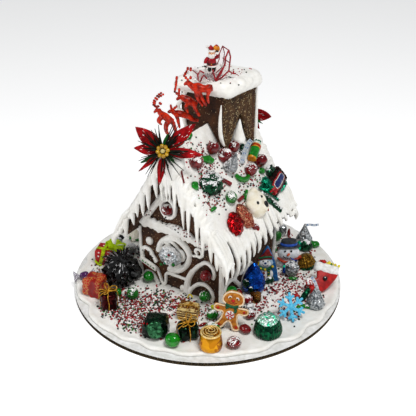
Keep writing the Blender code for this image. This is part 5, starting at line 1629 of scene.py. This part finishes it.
def biscuit(outline, thick, seed, rounding=1.2, steps=3):
    """A flat biscuit from its outline, its edges softened."""
    points = [(spot.x, spot.y) for spot in curved([(x, z, 0) for x, z in outline], steps, closed=True)]
    shape = flat_cut(points, thick)
    rims = [edge for edge in shape.edges if len({round(vert.co.y, 3) for vert in edge.verts}) == 1]
    softened(shape, rounding, edges=rims)
    bmesh.ops.triangulate(shape, faces=[face for face in shape.faces if len(face.verts) > 4])
    return shape


def iced_line(trail, radius, front, closed=False):
    """A piped line over the front of a biscuit, from the (x, z) spots of its trail."""
    spots = trail + trail[:1] if closed else trail
    return roped([[((x, front, z), radius) for x, z in spots]], 3, 4)


golden_biscuit = clouded("golden_baked_biscuit", "#94500e", "#cc8426", 0.62, 3.5, 4.0, 0.35)[0]
cream_icing = gloss_plastic("cream_line_icing", "#eedcc0", "#d8b88c", 0.55)
white_icing = gloss_plastic("white_line_icing", "#f0f0ee", "#d8d8d4", 0.5)
red_icing = gloss_plastic("red_line_icing", "#c41810", "#8c0c08", 0.45)
green_icing = gloss_plastic("green_line_icing", "#0c5c34", "#063820", 0.5)

half = [(0, 41), (6, 40), (10.5, 35), (10.5, 29.5), (6.5, 25.5), (12, 24.5), (17, 24), (18, 20),
        (15, 18), (8.5, 17.5), (8, 13), (10.5, 6), (13, 2.5), (10.5, 0), (6.5, 0.5), (3, 6)]
man_outline = half + [(0, 8.5)] + [(-x, z) for x, z in reversed(half[1:])]
body = biscuit(man_outline, 4.6, 1)
stand = stood_by(body, 74.5, -77.5, turn=32, lean=-16, roll=12)
edge = [(x * 0.955, 20.5 + (z - 20.5) * 0.965) for x, z in man_outline]
man = [
    (body, golden_biscuit), (iced_line(edge, 0.85, -2.1, closed=True), cream_icing),
    (iced_line([(-5.6, 33.2), (-4.4, 35.2), (-2.4, 34.6)], 0.5, -2.5), white_icing),
    (iced_line([(2.2, 34.4), (4.0, 35.0), (5.4, 33.0)], 0.5, -2.5), white_icing),
    (iced_line([(-4.4, 33.2), (-3.6, 33.8)], 0.5, -2.5), black_paste),
    (iced_line([(3.4, 33.4), (4.2, 33.0)], 0.5, -2.5), black_paste),
    (lump(-0.2, -2.7, 31.0, 2.0, 0.9, 1.6, 3), red_icing),
    (iced_line([(-4.5, 29.4), (-1.5, 28.0), (2.2, 28.2), (4.6, 29.6)], 0.4, -2.4), red_icing),
    (iced_line([(-7, 26.0), (-3, 25.0), (2, 24.6), (6.6, 26.2)], 1.6, -2.2), green_icing),
    (iced_line([(3.0, 24.5), (4.6, 21.5), (4.2, 19.0)], 1.5, -2.4), green_icing),
    (iced_line([(-3.5, 24.0), (-5.5, 21.8)], 1.4, -2.4), green_icing),
    (lump(-0.2, -2.6, 15.6, 4.6, 1.1, 4.6, 3), white_icing),
    (iced_line([(-14.5, 21.5), (-12.8, 20.4)], 1.3, -2.0), red_icing),
    (iced_line([(14.5, 21.5), (12.4, 20.6)], 1.3, -2.0), red_icing),
    (iced_line([(-9.0, 3.0), (-8.2, 4.6)], 1.3, -2.0), red_icing),
    (iced_line([(9.4, 3.0), (8.4, 4.6)], 1.3, -2.0), red_icing),
]
for i in range(6):
    way = math.tau * i / 6
    man.append((iced_line([(-0.2 + r * math.cos(way + 0.11 * r),
        15.6 + r * math.sin(way + 0.11 * r)) for r in (0.8, 2.4, 4.2)],
                          0.62, -3.5), red_icing))
add_piece("gingerbread_man_biscuit", "golden_biscuit", man, "gingerbread_man", place=stand)

# ---------------------------------------------------------------- snowman biscuit
# A tall biscuit iced in blue, with a snowman piped on it in white: a red hat trimmed with
# green, a green scarf with yellow dots and red sugar buttons.
blue_icing = gloss_plastic("blue_flooded_icing", "#1464a0", "#0a4478", 0.45)
pale_blue = gloss_plastic("pale_blue_icing", "#b4ccdc", "#88a8c4", 0.5)
navy_icing = gloss_plastic("navy_line_icing", "#183c7c", "#0c2458", 0.5)
yellow_icing = gloss_plastic("yellow_line_icing", "#dcc41c", "#b89408", 0.5)
dark_red_icing = gloss_plastic("dark_red_icing", "#8c1014", "#58080a", 0.5)

tall_outline = [(-13, 1), (0, 0), (13, 1), (13.2, 5), (10.6, 20), (7.6, 29), (4.2, 37), (0, 44.5),
    (-4.2, 37), (-8, 29),
                (-11.2, 20), (-13.2, 5)]
body = biscuit(tall_outline, 4.6, 2)
stand = stood_by(body, 64.5, 22, turn=30, lean=-4)
FRONT = -2.4
snowman = [
    (body, blue_icing),
    (kneaded(lump(-1.5, FRONT, 9.6, 9.0, 1.5, 8.4, 4), 4, 0.5, 1), white_icing),
    (kneaded(lump(-1.5, FRONT, 24.4, 8.4, 1.5, 6.8, 4), 4, 0.4, 3), pale_blue),
    (kneaded(lump(-1.5, FRONT - 0.5, 24.2, 6.8, 1.5, 5.4, 4), 4, 0.3, 4), white_icing),
    (placed(biscuit([(-8.8, 29.4), (5.4, 31.6), (3.8, 36.5), (0.4, 42.6), (-4.0, 36)], 1.6, 3, 0.5),
    Matrix.Translation((0, FRONT - 0.4, 0))), dark_red_icing),
    (iced_line([(-9.0, 30.0), (-2, 32.0), (5.4, 32.4)], 1.3, FRONT - 1.2), green_icing),
    (iced_line([(-9.4, 28.2), (-2, 30.0), (5.8, 30.4)], 1.1, FRONT - 1.0), dark_red_icing),
    (lump(-1.6, FRONT - 2.0, 24.6, 1.5, 0.9, 1.3), navy_icing),
    (lump(-4.0, FRONT - 1.7, 26.8, 0.8), black_paste), (lump(1.0, FRONT - 1.7, 26.8, 0.8), black_paste),
    (iced_line([(-4.4, 22.0), (-1.8, 20.8), (1.4, 21.8)], 0.35, FRONT - 1.9), navy_icing),
    (iced_line([(-9.5, 19.6), (-5.5, 17.2), (-0.5, 16.6), (4.5, 18.4), (6.6, 21.0)], 1.7, FRONT - 1.0),
    green_icing),
    (iced_line([(1.6, 16.6), (2.6, 12.5), (2.2, 9.0)], 1.7, FRONT - 1.4), green_icing),
    (iced_line([(-11.0, 15), (-9.8, 20), (-8.4, 26)], 1.0, FRONT), yellow_icing),
]
for x, z, finish in ((-6.8, 17.6, yellow_icing), (-1.8, 16.6, yellow_icing), (6.4, 20.8, yellow_icing),
        (2.4, 9.4, yellow_icing),
                     (2.3, 13.6, yellow_icing), (-3.0, 12.0, dark_red_icing), (-2.4, 7.0, dark_red_icing)):
    snowman.append((lump(x, FRONT - 2.1, z, 1.5, 1.0, 1.5), finish))
for i in range(5):
    way = math.radians(205 + 32 * i)
    snowman.append((lump(-1.6 + 3.4 * math.cos(way), FRONT - 1.9, 24.4 + 3.0 * math.sin(way), 0.38),
        black_paste))
add_piece("snowman_iced_biscuit", "blue_icing", snowman, "snowman_biscuit", place=stand)

# ---------------------------------------------------------------- snowman sweet
# A moulded sugar snowman, painted: a grey-black top hat with a blue band, a carrot
# nose, a dotted smile, a pipe and an orange-red scarf.
charcoal_paint = gloss_plastic("charcoal_sugar_paint", "#383c40", "#1c2024", 0.5)
band_blue = gloss_plastic("bright_blue_paint", "#3464cc", "#2048a0", 0.45)
scarf_red = gloss_plastic("orange_red_paint", "#bc3c20", "#8c2410", 0.45)
carrot_paint = gloss_plastic("carrot_paint", "#d8683c", "#b84420", 0.45)
snow_white = gloss_plastic("white_moulded_sugar", "#f2f3f5", "#d4dae0", 0.45)

pop = [
    (kneaded(lump(0, 0, 7.4, 12.6, 6.0, 7.6, 4), 6, 0.6, 1), snow_white),
    (kneaded(lump(0, -0.6, 19.4, 12.8, 6.4, 9.6, 4), 6, 0.5, 2), snow_white),
    (placed(turned([(0, 28.0), (12.8, 28.2), (13.4, 28.8), (12.8, 29.4), (9.4, 29.8), (9.0, 35.4),
    (8.4, 36.6), (0, 37.0)], 36),
            Matrix.Diagonal((1.0, 0.5, 1.0, 1.0))), charcoal_paint),
    (placed(turned([(9.4, 29.9), (9.8, 30.2), (9.7, 32.8), (9.3, 33.1)], 36),
    Matrix.Diagonal((1.0, 0.52, 1.0, 1.0))), band_blue),
    (roped([[((-12.4, -1.5, 13.4), 1.1), ((-7, -5.6, 11.2), 1.5), ((-1.5, -6.8, 10.4), 1.5),
    ((6, -6.0, 12.0), 1.4),
             ((13.4, -1.5, 14.2), 1.4)]]), scarf_red),
    (lump(13.0, -2.4, 14.4, 2.4, 1.8, 2.6), scarf_red),
    (rod((0.2, -6.6, 21.6), (-1.0, -8.4, 21.4), (-2.4, -9.4, 21.2), radius=1.2), carrot_paint),
    (lump(-4.6, -6.0, 24.6, 1.3, 0.8, 1.4), black_paste),
    (lump(2.4, -6.3, 25.0, 1.3, 0.8, 1.4), black_paste),
    (rod((2.6, -6.9, 15.8), (5.4, -7.4, 14.2), (8.4, -7.6, 12.6), radius=0.6), band_blue),
    (rod((8.4, -7.6, 12.0), (8.8, -7.7, 14.4), radius=1.2), navy_icing),
]
for i in range(6):
    way = math.radians(200 + 22 * i)
    pop.append((lump(-1.2 + 5.2 * math.cos(way), -6.8, 20.0 + 4.4 * math.sin(way), 0.7), black_paste))
add_piece("sugar_snowman", "white_sugar", pop, "snowman_pop", place=at(71.2, 60.5, GROUND, turn=34))

# ---------------------------------------------------------------- stocking
# A biscuit stocking lying back on the icing: red with a thick white cuff, sweets heaped
# in its top, a dark bead on its heel and sugar grains over its foot.
red_fondant = boiled_sugar("red_flooded_icing", "#c01812", "#900c0c", 0.4)
sugared_red = boiled_sugar("sugared_red_icing", "#c01812", "#900c0c", 0.4, dusted=0.8)
lime_candy = gloss_plastic("lime_yellow_candy", "#c8d020", "#98a010", 0.35)
yellow_candy = gloss_plastic("yellow_sugar_candy", "#ecdc40", "#d0b820", 0.45)
boot = [(-10, 24), (2, 26), (14, 27.5), (16.5, 22), (13.5, 12), (8, 1), (3, -2.2), (-6, -1.8), (-14, 2),
        (-13, 8.5), (-5, 10.5), (-7.0, 18)]
foot = biscuit(boot, 6.4, 5, 1.8)
resting = biscuit([(-13, 24), (4, 30), (17, 31), (17, 22), (13, 21), (12, 6), (6, 0), (-8, -2), (-15, 2),
    (-12, 9),
                   (-4, 11), (-6, 20), (-13, 19)], 8.0, 5, 1.0)
stand = stood_by(resting, 122.5, 33.8, turn=44, lean=-40, roll=27)
resting.free()
cuff = kneaded(carton(27, 8.2, 11.0, 2.8, 4, 0.8), 4, 0.6, 2)
stocking = [(foot, red_fondant),
    (placed(cuff, Matrix.Translation((3.2, 0, 19.2)) @ Matrix.Rotation(math.radians(-6), 4, "Y")),
    white_icing),
            (kneaded(lump(-10.5, -1.6, 3.6, 5.4, 3.2, 5.0, 4), 2, 0.8, 4), sugared_red),
            (lump(3.4, -4.2, 13.0, 2.6, 2.0, 2.6, 3), black_paste),
            (lump(2.6, -6.0, 13.8, 0.7), white_icing)]
chance = random.Random(12)
for i in range(26):
    x = chance.uniform(-9, 15.5)
    finish = chance.choice((lime_candy, yellow_candy, yellow_candy, red_icing,
        green_jelly)) if x > -2 else red_icing
    stocking.append((creased(lump(x, chance.uniform(-3.4, 3.0), 29.0 + chance.uniform(0, 2.6) + 0.06 * x,
        chance.uniform(1.1, 2.3), finer=2), 1.4, 0.5, i), finish))
add_piece("stocking_biscuit", "red_fondant", stocking, "red_stocking", place=stand)

# ---------------------------------------------------------------- snowflake
# A pressed sugar snowflake, sky blue, with six forked arms and a grainy surface.
sky_sugar = clouded("sky_blue_pressed_sugar", "#30a0cc", "#68c8e8", 0.5, 1.6, 3.0, 0.4)[0]
arm = ((2.6, -2.2), (8.0, -1.5), (10.6, -5.2), (12.6, -4.0), (11.2, -1.3), (15.4, -1.2),
       (15.4, 1.2), (11.2, 1.3), (12.6, 4.0), (10.6, 5.2), (8.0, 1.5))
star = []
for i in range(6):
    turn = math.tau * (i + 0.5) / 6
    star += [(r * math.cos(turn) - a * math.sin(turn), r * math.sin(turn) + a * math.cos(turn))
            for r, a in arm]
flake = flat_cut(star, 3.0)
softened(flake, 0.5)
bmesh.ops.triangulate(flake, faces=[face for face in flake.faces if len(face.verts) > 4])
stand = stood_by(flake, 118.8, -22.3, turn=40, lean=-38, roll=-3)
add_piece("sugar_snowflake", "sky_sugar",
    [(flake, sky_sugar), (lump(0, -1.8, 0, 2.6, 0.8, 2.6, 3), sky_sugar)],
          "snowflake", place=stand)

# ---------------------------------------------------------------- small sweets on the board
# Gumballs, jelly gums, sugar-rolled gum drops, foil gems and candy strips, pushed into
# the wet icing between the large sweets.

bright_green = boiled_sugar("bright_green_gumball", "#0c8c10", "#045c08")
gumballs = [
    # This gumball's white sugared top stands as a painted white sheen as well as sugar.
    (kneaded(lump(-39.9, -86.7, GROUND + 6.2, 6.8, 6.8, 6.6, 4), 5, 0.3, 1), sugar_and_sheen_green),
    (kneaded(lump(42.8, -127.4, GROUND + 7.0, 8.0, 7.4, 7.2, 4), 6, 0.5, 2), bright_green),
    (kneaded(lump(94.4, -95.6, GROUND + 5.6, 7.2, 7.0, 5.8, 4), 3, 0.6, 3), dusted_cherry),
    (kneaded(lump(91.8, -70.0, GROUND + 4.4, 6.4, 5.2, 4.4, 4), 3, 0.5, 4), cherry_sweet),
    (kneaded(lump(-56.0, -91.0, GROUND + 3.8, 3.4, 3.2, 4.6, 3), 3, 0.5, 5), green_sweet),
    (kneaded(lump(118.0, 29.0, GROUND + 4.4, 3.8, 3.8, 4.6, 3), 3, 0.4, 6), red_icing),
    (kneaded(lump(56.5, -24.5, GROUND + 6.0, 4.4, 4.4, 6.5, 3), 3, 0.5, 7), cherry_sweet),
]
add_piece("gumballs_on_board", "green_gum", gumballs)


def gum(x, y, wide, deep, tall, finish, turn=0.0, lift=0.0):
    """A soft gum piece resting on the board's icing."""
    shape = kneaded(lump(0, 0, tall, wide, deep, tall, 3), 3, min(wide, tall) * 0.22, x + y)
    return placed(shape, at(x, y, GROUND + lift - 0.3, turn=turn)), finish


gums = [
    gum(62.5, -85.0, 8.0, 6.0, 4.6, dusted_green, 30), gum(52.0, -69.5, 6.4, 5.0, 5.2, dusted_green, 50),
    gum(43.5, -54.5, 3.2, 2.6, 2.4, lime_candy), gum(46.5, -58.0, 2.4, 2.0, 2.0, yellow_jelly),
    gum(40.5, -57.5, 2.6, 1.6, 1.6, dusted_green),
    gum(50.5, -84.5, 5.2, 1.8, 1.8, cherry_sweet, 60), gum(54.0, -99.5, 5.4, 4.6, 3.0, cherry_sweet, 40),
    gum(57.0, -92.0, 3.4, 2.8, 2.4, cherry_sweet, 10),
    gum(68.0, -26.0, 6.4, 5.6, 5.2, dusted_cherry, 20), gum(84.5, -47.5, 6.0, 5.0, 5.4, dusted_cherry, 50),
    gum(77.5, -36.0, 4.6, 4.2, 4.2, silver_snowed, 0),
    gum(88.6, 40.5, 5.0, 2.0, 1.8, green_jelly, 30), gum(107.2, 12.5, 4.4, 2.0, 2.2, red_icing, 15),
    gum(110.5, 8.0, 2.2, 2.0, 2.2, green_jelly),
    gum(122.0, -1.5, 5.0, 2.6, 2.2, green_jelly, 60), gum(126.5, 1.5, 4.0, 2.4, 2.2, dusted_green, 10),
    gum(118.5, -4.5, 3.0, 2.2, 1.8, green_jelly, 90),
    gum(113.2, -22.0, 2.8, 2.0, 2.0, cherry_sweet, 0), gum(70.5, 19.0, 5.2, 3.0, 5.2, green_snowed, 40),
    gum(74.5, 29.5, 3.6, 2.6, 3.4, silver_snowed, 0),
    gum(77.5, 116.8, 6.6, 5.2, 4.0, green_jelly, 30), gum(32.2, 106.5, 5.8, 5.8, 6.2, green_jelly, 0),
    gum(33.4, 118.5, 5.0, 5.0, 8.4, dull_silver, 0),
    gum(41.5, 119.5, 2.2, 2.2, 6.4, cherry_sweet, 0), gum(42.0, 79.5, 4.6, 4.6, 5.0, dusted_green, 0),
    gum(47.0, 88.0, 6.5, 5.5, 5.0, dusted_cherry, 0),
    gum(72.4, 103.5, 8.6, 6.6, 7.4, green_snowed, 20), gum(66.0, 100.0, 5.0, 4.6, 6.6, teal_foil, 70),
    gum(-74.0, -92.0, 3.0, 2.2, 2.4, dusted_cherry, 0),
    gum(-59.0, -36.5, 6.8, 1.8, 3.6, cherry_sweet, 18, 3),
    gum(-92.0, -62.0, 4.6, 3.4, 3.0, dusted_cherry, 0), gum(-84.5, -90.5, 3.4, 3.4, 4.0, dusted_cherry, 0),
    gum(-100.5, -15.6, 8.4, 6.6, 6.0, silver_snowed, 20), gum(-98.0, -27.0, 5.6, 4.6, 4.6, silver_foil, 50),
    gum(-91.0, -8.0, 4.4, 3.6, 4.6, silver_snowed, 0),
    gum(-81.5, -17.0, 4.0, 3.0, 3.4, black_film, 30), gum(-98.0, -3.0, 2.8, 1.8, 2.2, cherry_sweet, 0),
    gum(-92.5, -68.5, 7.0, 4.0, 3.0, pale_film_and_glint, 10),
    gum(-97.5, -58.5, 3.6, 2.0, 2.6, black_film, 60), gum(-90.5, -74.5, 5.0, 3.2, 4.4, dusted_cherry, 40),
]
add_piece("gums_on_board", "green_gum", gums)

strips = [
    (roped([[((115.4, 7.0, GROUND + 2), 2.4), ((117.4, 11.5, GROUND + 6), 3.4),
    ((118.4, 16.5, GROUND + 10), 3.2),
             ((118.6, 19.5, GROUND + 12), 1.8)]]), pleated_green),
    (rod((76.0, 12.0, 10.4), (80.5, 9.0, 10.8), (86.5, 7.0, 10.4), radius=1.1), cherry_sweet),
    (rod((70.5, 6.5, 10.2), (76.0, 4.5, 10.8), (81.0, 1.5, 10.4), radius=0.9), dusted_cherry),
    (rod((10.5, -54.6, 10.2), (14.0, -55.0, 15.5), (17.5, -55.6, 13.6), radius=0.9), yellow_candy),
]
add_piece("candy_strips_on_board", "green_gum", strips)

# A white sweet with a black band, behind the presents.
add_piece("banded_sweet", "white_sugar", [
    (kneaded(lump(-123.8, -8.0, GROUND + 6.4, 4.6, 4.6, 5.2, 3), 3, 0.4, 1), silver_snowed),
    (roped([[((-128.0, -9.5, GROUND + 7.0), 1.7), ((-125.6, -9.2, GROUND + 11.2), 2.1),
    ((-121.6, -7.2, GROUND + 11.6), 2.1),
             ((-118.6, -5.4, GROUND + 8.0), 1.7)]]), black_paste)])

# ---------------------------------------------------------------- sprinkles
# Sugar balls of a millimetre and a half and coarser bits in dark red, dark green and
# white, thrown by hand: thick before the door and round the sweets, thin elsewhere.
dark_red_ball = boiled_sugar("dark_red_sugar_ball", "#a40a18", "#74040e", 0.35)
dark_green_ball = boiled_sugar("dark_green_sugar_ball", "#123022", "#081810", 0.4)
white_ball = boiled_sugar("white_sugar_ball", "#f6f4f2", "#dcd8d4", 0.5)
light_green_ball = boiled_sugar("light_green_sugar_ball", "#3c7c1c", "#245c0c", 0.4)


def surface_of(*names):
    """What a thrown grain meets: these pieces' meshes, in millimetres."""
    joined = bmesh.new()
    for name in names:
        joined.from_mesh(bpy.data.objects[name].data)
    bmesh.ops.scale(joined, vec=(1000, 1000, 1000), verts=joined.verts)
    return BVHTree.FromBMesh(joined)


def thrown(surface, grains, spots, drop, sizes, colours, chance):
    """Grains on the surface where each spot, followed along the drop, meets it. A grain
    lies with a third of itself in the icing."""
    finishes, weights = zip(*colours)
    for spot in spots:
        met, normal, _, _ = surface.ray_cast(Vector(spot), Vector(drop))
        if met is None or normal.dot(Vector(drop)) > 0:
            continue
        radius = chance.uniform(*sizes)
        fit = (Matrix.Translation(met + normal * radius * 0.35)
               @ Matrix.Diagonal((chance.uniform(0.8, 1.3), chance.uniform(0.8, 1.3),
               chance.uniform(0.8, 1.1), 1.0)))
        bmesh.ops.create_icosphere(grains[chance.choices(finishes, weights)[0]], subdivisions=1,
            radius=radius, matrix=fit)


def heaped(patches, chance):
    """Spots in round patches, each (centre, half sizes, count), thickest at their middles."""
    for (x, y), (wide, deep), count in patches:
        for _ in range(count):
            yield chance.gauss(x, wide * 0.5), chance.gauss(y, deep * 0.5)


chance = random.Random(17)
RED_GREEN = ((dark_red_ball, 10), (dark_green_ball, 9), (white_ball, 8), (light_green_ball, 1))
MOSTLY_RED = ((dark_red_ball, 12), (dark_green_ball, 4), (white_ball, 8))
grains = {finish: bmesh.new() for finish in (dark_red_ball, dark_green_ball, white_ball, light_green_ball)}
ground = surface_of("board_icing_poured")
on_board = [((-24, -95), (36, 28), 900), ((-38, -105), (24, 24), 380), ((4, -70), (34, 18), 460),
    ((-6, -120), (24, 18), 260),
            ((-46, -92), (12, 12), 60), ((52, -62), (20, 16), 80), ((62, -34), (16, 14), 90),
            ((84, -24), (14, 24), 100),
            ((-100, -30), (26, 26), 110), ((-84, -84), (16, 16), 60), ((-104, -58), (14, 14), 60)]
spots = [(x, y, 60) for x, y in heaped(on_board, chance) if math.hypot(x, y) < 139]
thrown(ground, grains, spots, (0, 0, -1), (0.95, 1.35), RED_GREEN, chance)
beyond = [((92, 22), (32, 34), 420), ((88, 52), (24, 24), 110), ((60, 96), (30, 24), 80),
    ((110, -8), (22, 26), 70),
          ((0, 118), (70, 14), 130), ((-100, 50), (26, 46), 130)]
spots = [(x, y, 60) for x, y in heaped(beyond, chance) if math.hypot(x, y) < 139]
thrown(ground, grains, spots, (0, 0, -1), (0.8, 1.3), MOSTLY_RED, chance)
loose = []
while len(loose) < 90:
    x, y = chance.uniform(-138, 138), chance.uniform(-138, 138)
    if math.hypot(x, y) < 137 and (math.hypot(x, y) > 112 or chance.random() < 0.25):
        loose.append((x, y, 60))
thrown(ground, grains, loose, (0, 0, -1), (0.9, 1.5), RED_GREEN, chance)
add_piece("sprinkles_on_board", "cherry_candy", [(shape, finish) for finish, shape in grains.items()],
    crease=80)

grains = {finish: bmesh.new() for finish in (dark_red_ball, dark_green_ball, white_ball, light_green_ball)}
roof = surface_of("icing_coat_right", "icing_coat_left")
down_slope = (-SIN, 0, -COS)
on_slope = [((27, -33), (14, 20), 190), ((17, -22), (10, 18), 80), ((33, -44), (9, 16), 60),
    ((22, 10), (14, 22), 110),
            ((38, 34), (12, 26), 120), ((44, 12), (8, 20), 60), ((10, -34), (9, 18), 60),
            ((40, -30), (6, 14), 40)]
spots = [(x + 40, y, PEAK_Z - (x - HOUSE_X) * SIN / COS + 60)
        for x, y in heaped(on_slope, chance) if x > HOUSE_X]
thrown(roof, grains, spots, down_slope, (0.75, 1.15), RED_GREEN, chance)
spots = [(x - 40, y, PEAK_Z + (x - HOUSE_X) * SIN / COS + 60)
        for x, y in heaped([((-30, 0), (20, 60), 160)], chance) if x < HOUSE_X]
thrown(roof, grains, spots, (SIN, 0, -COS), (0.6, 1.0), RED_GREEN, chance)
cap = surface_of("chimney_cap_icing")
spots = [(x, y, 260) for x, y in heaped([((-4, 30), (34, 34), 130)], chance)]
thrown(cap, grains, spots, (0, 0, -1), (0.5, 0.9), RED_GREEN, chance)
add_piece("sprinkles_on_roof", "cherry_candy", [(shape, finish) for finish, shape in grains.items()],
    crease=80)

grains = {finish: bmesh.new() for finish in (dark_red_ball, dark_green_ball, white_ball, light_green_ball)}
front = surface_of("piping_front")
spots = [(x, -90, 99 - 0.18 * (x + 50) + chance.uniform(-6, 6)) for x in (chance.uniform(-52,
    36) for _ in range(190))]
spots += [(x, -90, z) for x, z in heaped([((-42, 50), (10, 12), 40)], chance)]
thrown(front, grains, spots, (0, 1, 0), (0.6, 1.0),
    ((dark_red_ball, 3), (dark_green_ball, 5), (white_ball, 6)), chance)
if any(shape.verts for shape in grains.values()):
    add_piece("sprinkles_on_front", "cherry_candy", [(shape, finish) for finish, shape in grains.items()],
        crease=80)
